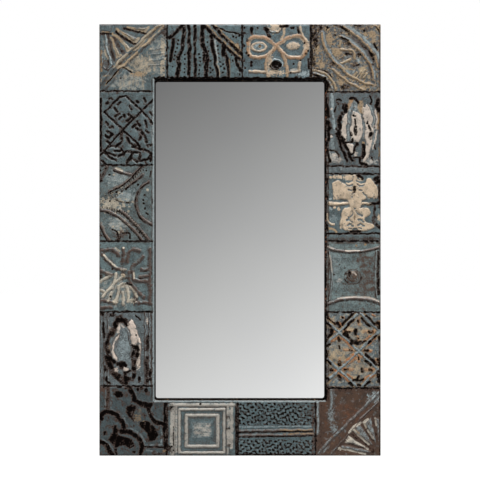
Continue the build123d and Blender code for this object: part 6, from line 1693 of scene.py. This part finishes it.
def lathe(name, profile):
    """A body of revolution about Y, closed at both ends of the profile on the axis."""
    turns = [2 * math.pi * k / SCREW_SIDES for k in range(SCREW_SIDES)]
    points = [(radius * math.cos(turn), y, radius * math.sin(turn))
              for radius, y in profile[1:-1] for turn in turns]
    points += [(0, profile[0][1], 0), (0, profile[-1][1], 0)]
    last = len(points) - 2 - SCREW_SIDES
    faces = []
    for k in range(SCREW_SIDES):
        after = (k + 1) % SCREW_SIDES
        faces.append((len(points) - 2, k, after))
        faces.append((len(points) - 1, last + k, last + after))
        for ring_start in range(0, last, SCREW_SIDES):
            faces.append((ring_start + k, ring_start + after, ring_start + SCREW_SIDES + after,
                          ring_start + SCREW_SIDES + k))
    return closed_mesh(name, points, faces)


def cross(name):
    """The cross-shaped plug, narrower at its floor, that a screwdriver's recess leaves free."""
    a, b = RECESS_HALF_WIDTH, RECESS_REACH
    outline = [(a, a), (a, b), (-a, b), (-a, a), (-b, a), (-b, -a), (-a, -a), (-a, -b), (a, -b), (a, -a), (b, -a),
               (b, a)]
    levels = ((RECESS_FLOOR, 0.6), (SCREW_HEAD_HEIGHT + 0.5, 1.1))
    points = [(x * share, y, z * share) for y, share in levels for x, z in outline]
    count = len(outline)
    faces = [tuple(range(count)), tuple(range(count, 2 * count))]
    faces += [(k, (k + 1) % count, count + (k + 1) % count, count + k) for k in range(count)]
    return closed_mesh(name, points, faces)


def screw_mesh(length):
    """One pan-head screw with its head's seat at the origin, in millimetres."""
    shank = ((0.0, -length), (SCREW_SHANK_RADIUS, SCREW_TIP - length), (SCREW_SHANK_RADIUS, 0.0))
    body = added("screw_blank", lathe("screw_blank", (*shank, *SCREW_HEAD, (0.0, SCREW_HEAD_HEIGHT))))
    plug = added("screw_cross", cross("screw_cross"))
    recess = body.modifiers.new("recess", "BOOLEAN")
    recess.operation = "DIFFERENCE"
    recess.solver = "EXACT"
    recess.object = plug
    bpy.context.view_layer.update()
    mesh = bpy.data.meshes.new_from_object(body.evaluated_get(bpy.context.evaluated_depsgraph_get()))
    for part in (body, plug):
        bpy.data.objects.remove(part)
    return mesh


def solids_of(node):
    """The lowest and highest corner of each separate solid of a CAD node, from left to right."""
    shell = bmesh.new()
    shell.from_mesh(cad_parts[node].data)
    bmesh.ops.remove_doubles(shell, verts=shell.verts, dist=1e-6)
    left = set(shell.verts)
    boxes = []
    while left:
        waiting = [left.pop()]
        solid = []
        while waiting:
            point = waiting.pop()
            solid.append(point.co.copy())
            for edge in point.link_edges:
                other = edge.other_vert(point)
                if other in left:
                    left.discard(other)
                    waiting.append(other)
        corners = np.array(solid)
        boxes.append((corners.min(0), corners.max(0)))
    shell.free()
    return sorted(boxes, key=lambda box: (round(float(box[0][0]), 4), round(float(box[0][2]), 4)))


def screw_set(name, node, material):
    """Round screws with a cross recess, one where each plain solid of the node stands."""
    together = bmesh.new()
    for number, (low, high) in enumerate(solids_of(node)):
        seat = high[1] - SCREW_HEAD_HEIGHT * MM
        one = screw_mesh((seat - low[1]) / MM)
        place = Matrix.Translation(((low[0] + high[0]) / 2, seat, (low[2] + high[2]) / 2))
        one.transform(place @ Matrix.Rotation(FIRST_TURN + NEXT_TURN * number, 4, "Y") @ Matrix.Scale(MM, 4))
        together.from_mesh(one)
    mesh = bpy.data.meshes.new(name)
    together.to_mesh(mesh)
    together.free()
    mesh.shade_smooth()
    mesh.set_sharp_from_angle(angle=SHARP_EDGE)
    mesh.materials.append(material)
    piece = added(name, mesh)
    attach(piece, "frame")
    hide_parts(node)


# ---------------------------------------------------------------- hanger rings
WIRE_RADIUS = 1.3
RING_HALF_HEIGHT = 11.5  # from the middle of the straight side to the wire's corner
RING_LEG = 9.0  # from the straight side to the start of the round bow
RING_CORNER = 1.7
CORNER_STEPS, BOW_STEPS = 5, 28
WIRE_SIDES = 16


def d_ring(name, node, way, material):
    """A D-ring of round wire. Way is 1 where its bow points to +X and -1 where it points to -X."""
    low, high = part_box(node)
    hinge = (low.x if way > 0 else high.x) + way * WIRE_RADIUS * MM
    half, corner = RING_HALF_HEIGHT, RING_CORNER
    path = ring((corner, half - corner), (corner, corner), 180, 90, CORNER_STEPS)
    path += ring((RING_LEG, 0), (half, half), 90, -90, BOW_STEPS)
    path += ring((corner, corner - half), (corner, corner), 270, 180, CORNER_STEPS)
    points = []
    for k, (u, v) in enumerate(path):
        along = Vector(path[(k + 1) % len(path)]) - Vector(path[k - 1])
        across = Vector((along.y, -along.x)).normalized()
        for side in range(WIRE_SIDES):
            turn = 2 * math.pi * side / WIRE_SIDES
            out = WIRE_RADIUS * math.cos(turn)
            points.append((hinge + way * (u + across.x * out) * MM,
                           (low.y + high.y) / 2 + WIRE_RADIUS * math.sin(turn) * MM,
                           (low.z + high.z) / 2 + (v + across.y * out) * MM))
    faces = []
    for k in range(len(path)):
        here, there = k * WIRE_SIDES, (k + 1) % len(path) * WIRE_SIDES
        for side in range(WIRE_SIDES):
            after = (side + 1) % WIRE_SIDES
            faces.append((here + side, here + after, there + after, there + side))
    mesh = closed_mesh(name, points, faces)
    mesh.shade_smooth()
    mesh.materials.append(material)
    piece = added(name, mesh)
    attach(piece, node)
    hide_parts(node)


# ---------------------------------------------------------------- the mirror
for tile_name, recipe in TILES.items():
    build_tile(tile_name, *recipe)

upright_pine = wood("pine_upright", (176, 134, 88), (136, 96, 58), (8, 8, 0.5))
level_pine = wood("pine_level", (172, 130, 84), (132, 92, 56), (0.5, 8, 8))
zinc = steel("zinc", (196, 198, 200), (150, 152, 156), 0.28)
SKINS = {
    "stile_left": upright_pine,
    "stile_right": upright_pine,
    "rail_top": level_pine,
    "rail_bottom": level_pine,
    "corner_tenons": wood("beech", (190, 150, 110), (160, 118, 80), (0.5, 8, 8)),
    "mirror_glass": mirror_silver(),
    "backing_card": board("grey_card", (150, 136, 116), (118, 104, 86), 500, 0.9),
    "backing_board": board("hardboard", (122, 82, 54), (88, 56, 34), 350, 0.6),
    "wall_bumpers": rubber(),
    "tile_nails": steel("nail_steel_skin", (96, 86, 78), (52, 42, 36), 0.45),
    "hanger_strap_left": zinc,
    "hanger_strap_right": zinc,
    **{f"turn_button_{number}": zinc for number in range(1, 7)},
}
for cad_node, skin in SKINS.items():
    dress(cad_node, skin)
worn_zinc = steel("worn_zinc", (170, 164, 148), (112, 104, 90), 0.34)
screw_set("turn_button_cross_screws", "turn_button_screws", worn_zinc)
screw_set("hanger_cross_screws", "hanger_screws", worn_zinc)
d_ring("hanger_wire_left", "hanger_ring_left", 1, zinc)
d_ring("hanger_wire_right", "hanger_ring_right", -1, zinc)


# ---------------------------------------------------------------- stage, light and camera
CAMERA_DISTANCE = 1.5  # from the tin's face; this and the sizes below are in metres
VIEW_HALF_WIDTH = 0.508  # half of the picture's width, measured at the tin's face
PICTURE_SIZE = 480  # pixels across and down
PIXEL = 2 * VIEW_HALF_WIDTH / PICTURE_SIZE  # metres at the tin's face
FLOOR_Z = -1.2
FLOOR_REACH = 14.0
FLOOR_LIFT = (0.74, 0.97)  # brightness that the camera sees beside the object and far from it
FLOOR_LIFT_AT = (1.4, 3.0)  # distances from the middle of the mirror's back at which it has them
CARD_REACH = 4.0
CARD_Y = -2 * CAMERA_DISTANCE - 0.2
MIRROR_SCALE = (CAMERA_DISTANCE + abs(CARD_Y)) / CAMERA_DISTANCE  # card metres for each metre on the glass
GREY_ACROSS, GREY_DOWN = 0.17, 0.29  # levels of 255 that the reflection gains for each pixel
GREY_LEVEL, GREY_COLUMN, GREY_ROW = 118, 162, 85  # its level at that pixel, near the glass's upper left
CARD_ACROSS = GREY_ACROSS / 255 / PIXEL / MIRROR_SCALE
CARD_DOWN = -GREY_DOWN / 255 / PIXEL / MIRROR_SCALE
MIDDLE = PICTURE_SIZE / 2
CARD_MIDDLE = (GREY_LEVEL + GREY_ACROSS * (MIDDLE - GREY_COLUMN) + GREY_DOWN * (MIDDLE - GREY_ROW)) / 255
CARD_DARKEST, CARD_LIGHTEST = 0.36, 0.93
SCREEN_GAMMA = 2.2
WORLD_LIGHT = 0.26  # strength of the white world as light on the object; the camera sees it at 1


def sharp_rays(n):
    """1 for what the camera sees, also in a mirror or through glass, and 0 for light on the object."""
    way = n.add("LightPath")
    return n.math("MAXIMUM", way.outputs["Is Camera Ray"],
                  n.math("MAXIMUM", way.outputs["Is Glossy Ray"], way.outputs["Is Transmission Ray"]))


def paper():
    """White paper for the camera and for sharp reflections, which still takes the object's shadow."""
    n = Nodes(bpy.data.materials.new("floor_paper"))
    spot = n.add("VectorMath", operation="LENGTH")
    n.link(n.add("TexCoord").outputs["Object"], spot.inputs[0])
    lift = n.ramp(spot.outputs["Value"], *FLOOR_LIFT_AT, *FLOOR_LIFT)
    n.shade(Base_Color=srgb(124, 124, 124), Roughness=0.95, Specular_IOR_Level=0.0,
            Emission_Color=(1, 1, 1, 1), Emission_Strength=n.math("MULTIPLY", sharp_rays(n), lift))
    return n.owner


def plane(name, corners, material):
    """One flat face that belongs to the stage and not to the mirror."""
    mesh = bpy.data.meshes.new(name)
    mesh.from_pydata(corners, [], [(0, 1, 2, 3)])
    mesh.materials.append(material)
    piece = added(name, mesh)
    return piece


def reflected_card():
    """What the mirror faces: a wide card whose grey rises from its upper left to its lower right."""
    n = Nodes(bpy.data.materials.new("studio_card"))
    split = n.add("SeparateXYZ")
    n.link(n.add("TexCoord").outputs["Object"], split.inputs[0])
    slope = n.math("ADD", n.math("MULTIPLY", split.outputs[0], CARD_ACROSS),
                   n.math("MULTIPLY", split.outputs[2], CARD_DOWN))
    level = n.math("MAXIMUM", n.math("ADD", slope, CARD_MIDDLE), CARD_DARKEST)
    linear = n.math("POWER", n.math("MINIMUM", level, CARD_LIGHTEST), SCREEN_GAMMA)
    glow = n.add("Emission")
    n.link(linear, glow.inputs["Strength"])
    n.link(glow.outputs[0], n.tree.nodes["Material Output"].inputs["Surface"])
    corners = [(x * CARD_REACH, CARD_Y, z * CARD_REACH) for x, z in ((-1, -1), (1, -1), (1, 1), (-1, 1))]
    card = plane("studio_card", corners, n.owner)
    for ray in ("camera", "diffuse", "transmission", "shadow", "volume_scatter"):
        setattr(card, "visible_" + ray, False)


reflected_card()
plane("floor", [(x * FLOOR_REACH, y * FLOOR_REACH, FLOOR_Z) for x, y in ((-1, -1), (1, -1), (1, 1), (-1, 1))],
      paper())

world = Nodes(bpy.data.worlds.new("studio"))
bpy.context.scene.world = world.owner
strength = world.add("MapRange", **{"To Min": WORLD_LIGHT, "To Max": 1.0})
world.link(sharp_rays(world), strength.inputs[0])
world.shade(Color=(1, 1, 1, 1), Strength=strength.outputs[0])


def softbox(name, place, size, power):
    """A soft lamp that faces the middle of the mirror's back plane."""
    light = bpy.data.lights.new(name, "AREA")
    light.shape = "RECTANGLE"
    light.size, light.size_y = size
    light.energy = power
    lamp = added(name, light)
    lamp.location = place
    lamp.rotation_euler = (-Vector(place)).to_track_quat("-Z", "Y").to_euler()


softbox("key_above", (0.9, -3.0, 5.6), (1.6, 1.2), 540)
softbox("fill_left", (-1.8, -1.8, 0.2), (1.5, 1.5), 5)
softbox("back_fill", (0.6, 3.0, 3.0), (2.0, 2.0), 110)

lens = bpy.data.cameras.new("photo_camera")
lens.sensor_width = 36.0
lens.angle = 2 * math.atan(VIEW_HALF_WIDTH / CAMERA_DISTANCE)
camera = added("photo_camera", lens)
camera.location = (0, FACE_Y * MM - CAMERA_DISTANCE, 0)
camera.rotation_euler = (math.pi / 2, 0, 0)
bpy.context.scene.camera = camera
bpy.context.scene.view_settings.view_transform = "Standard"
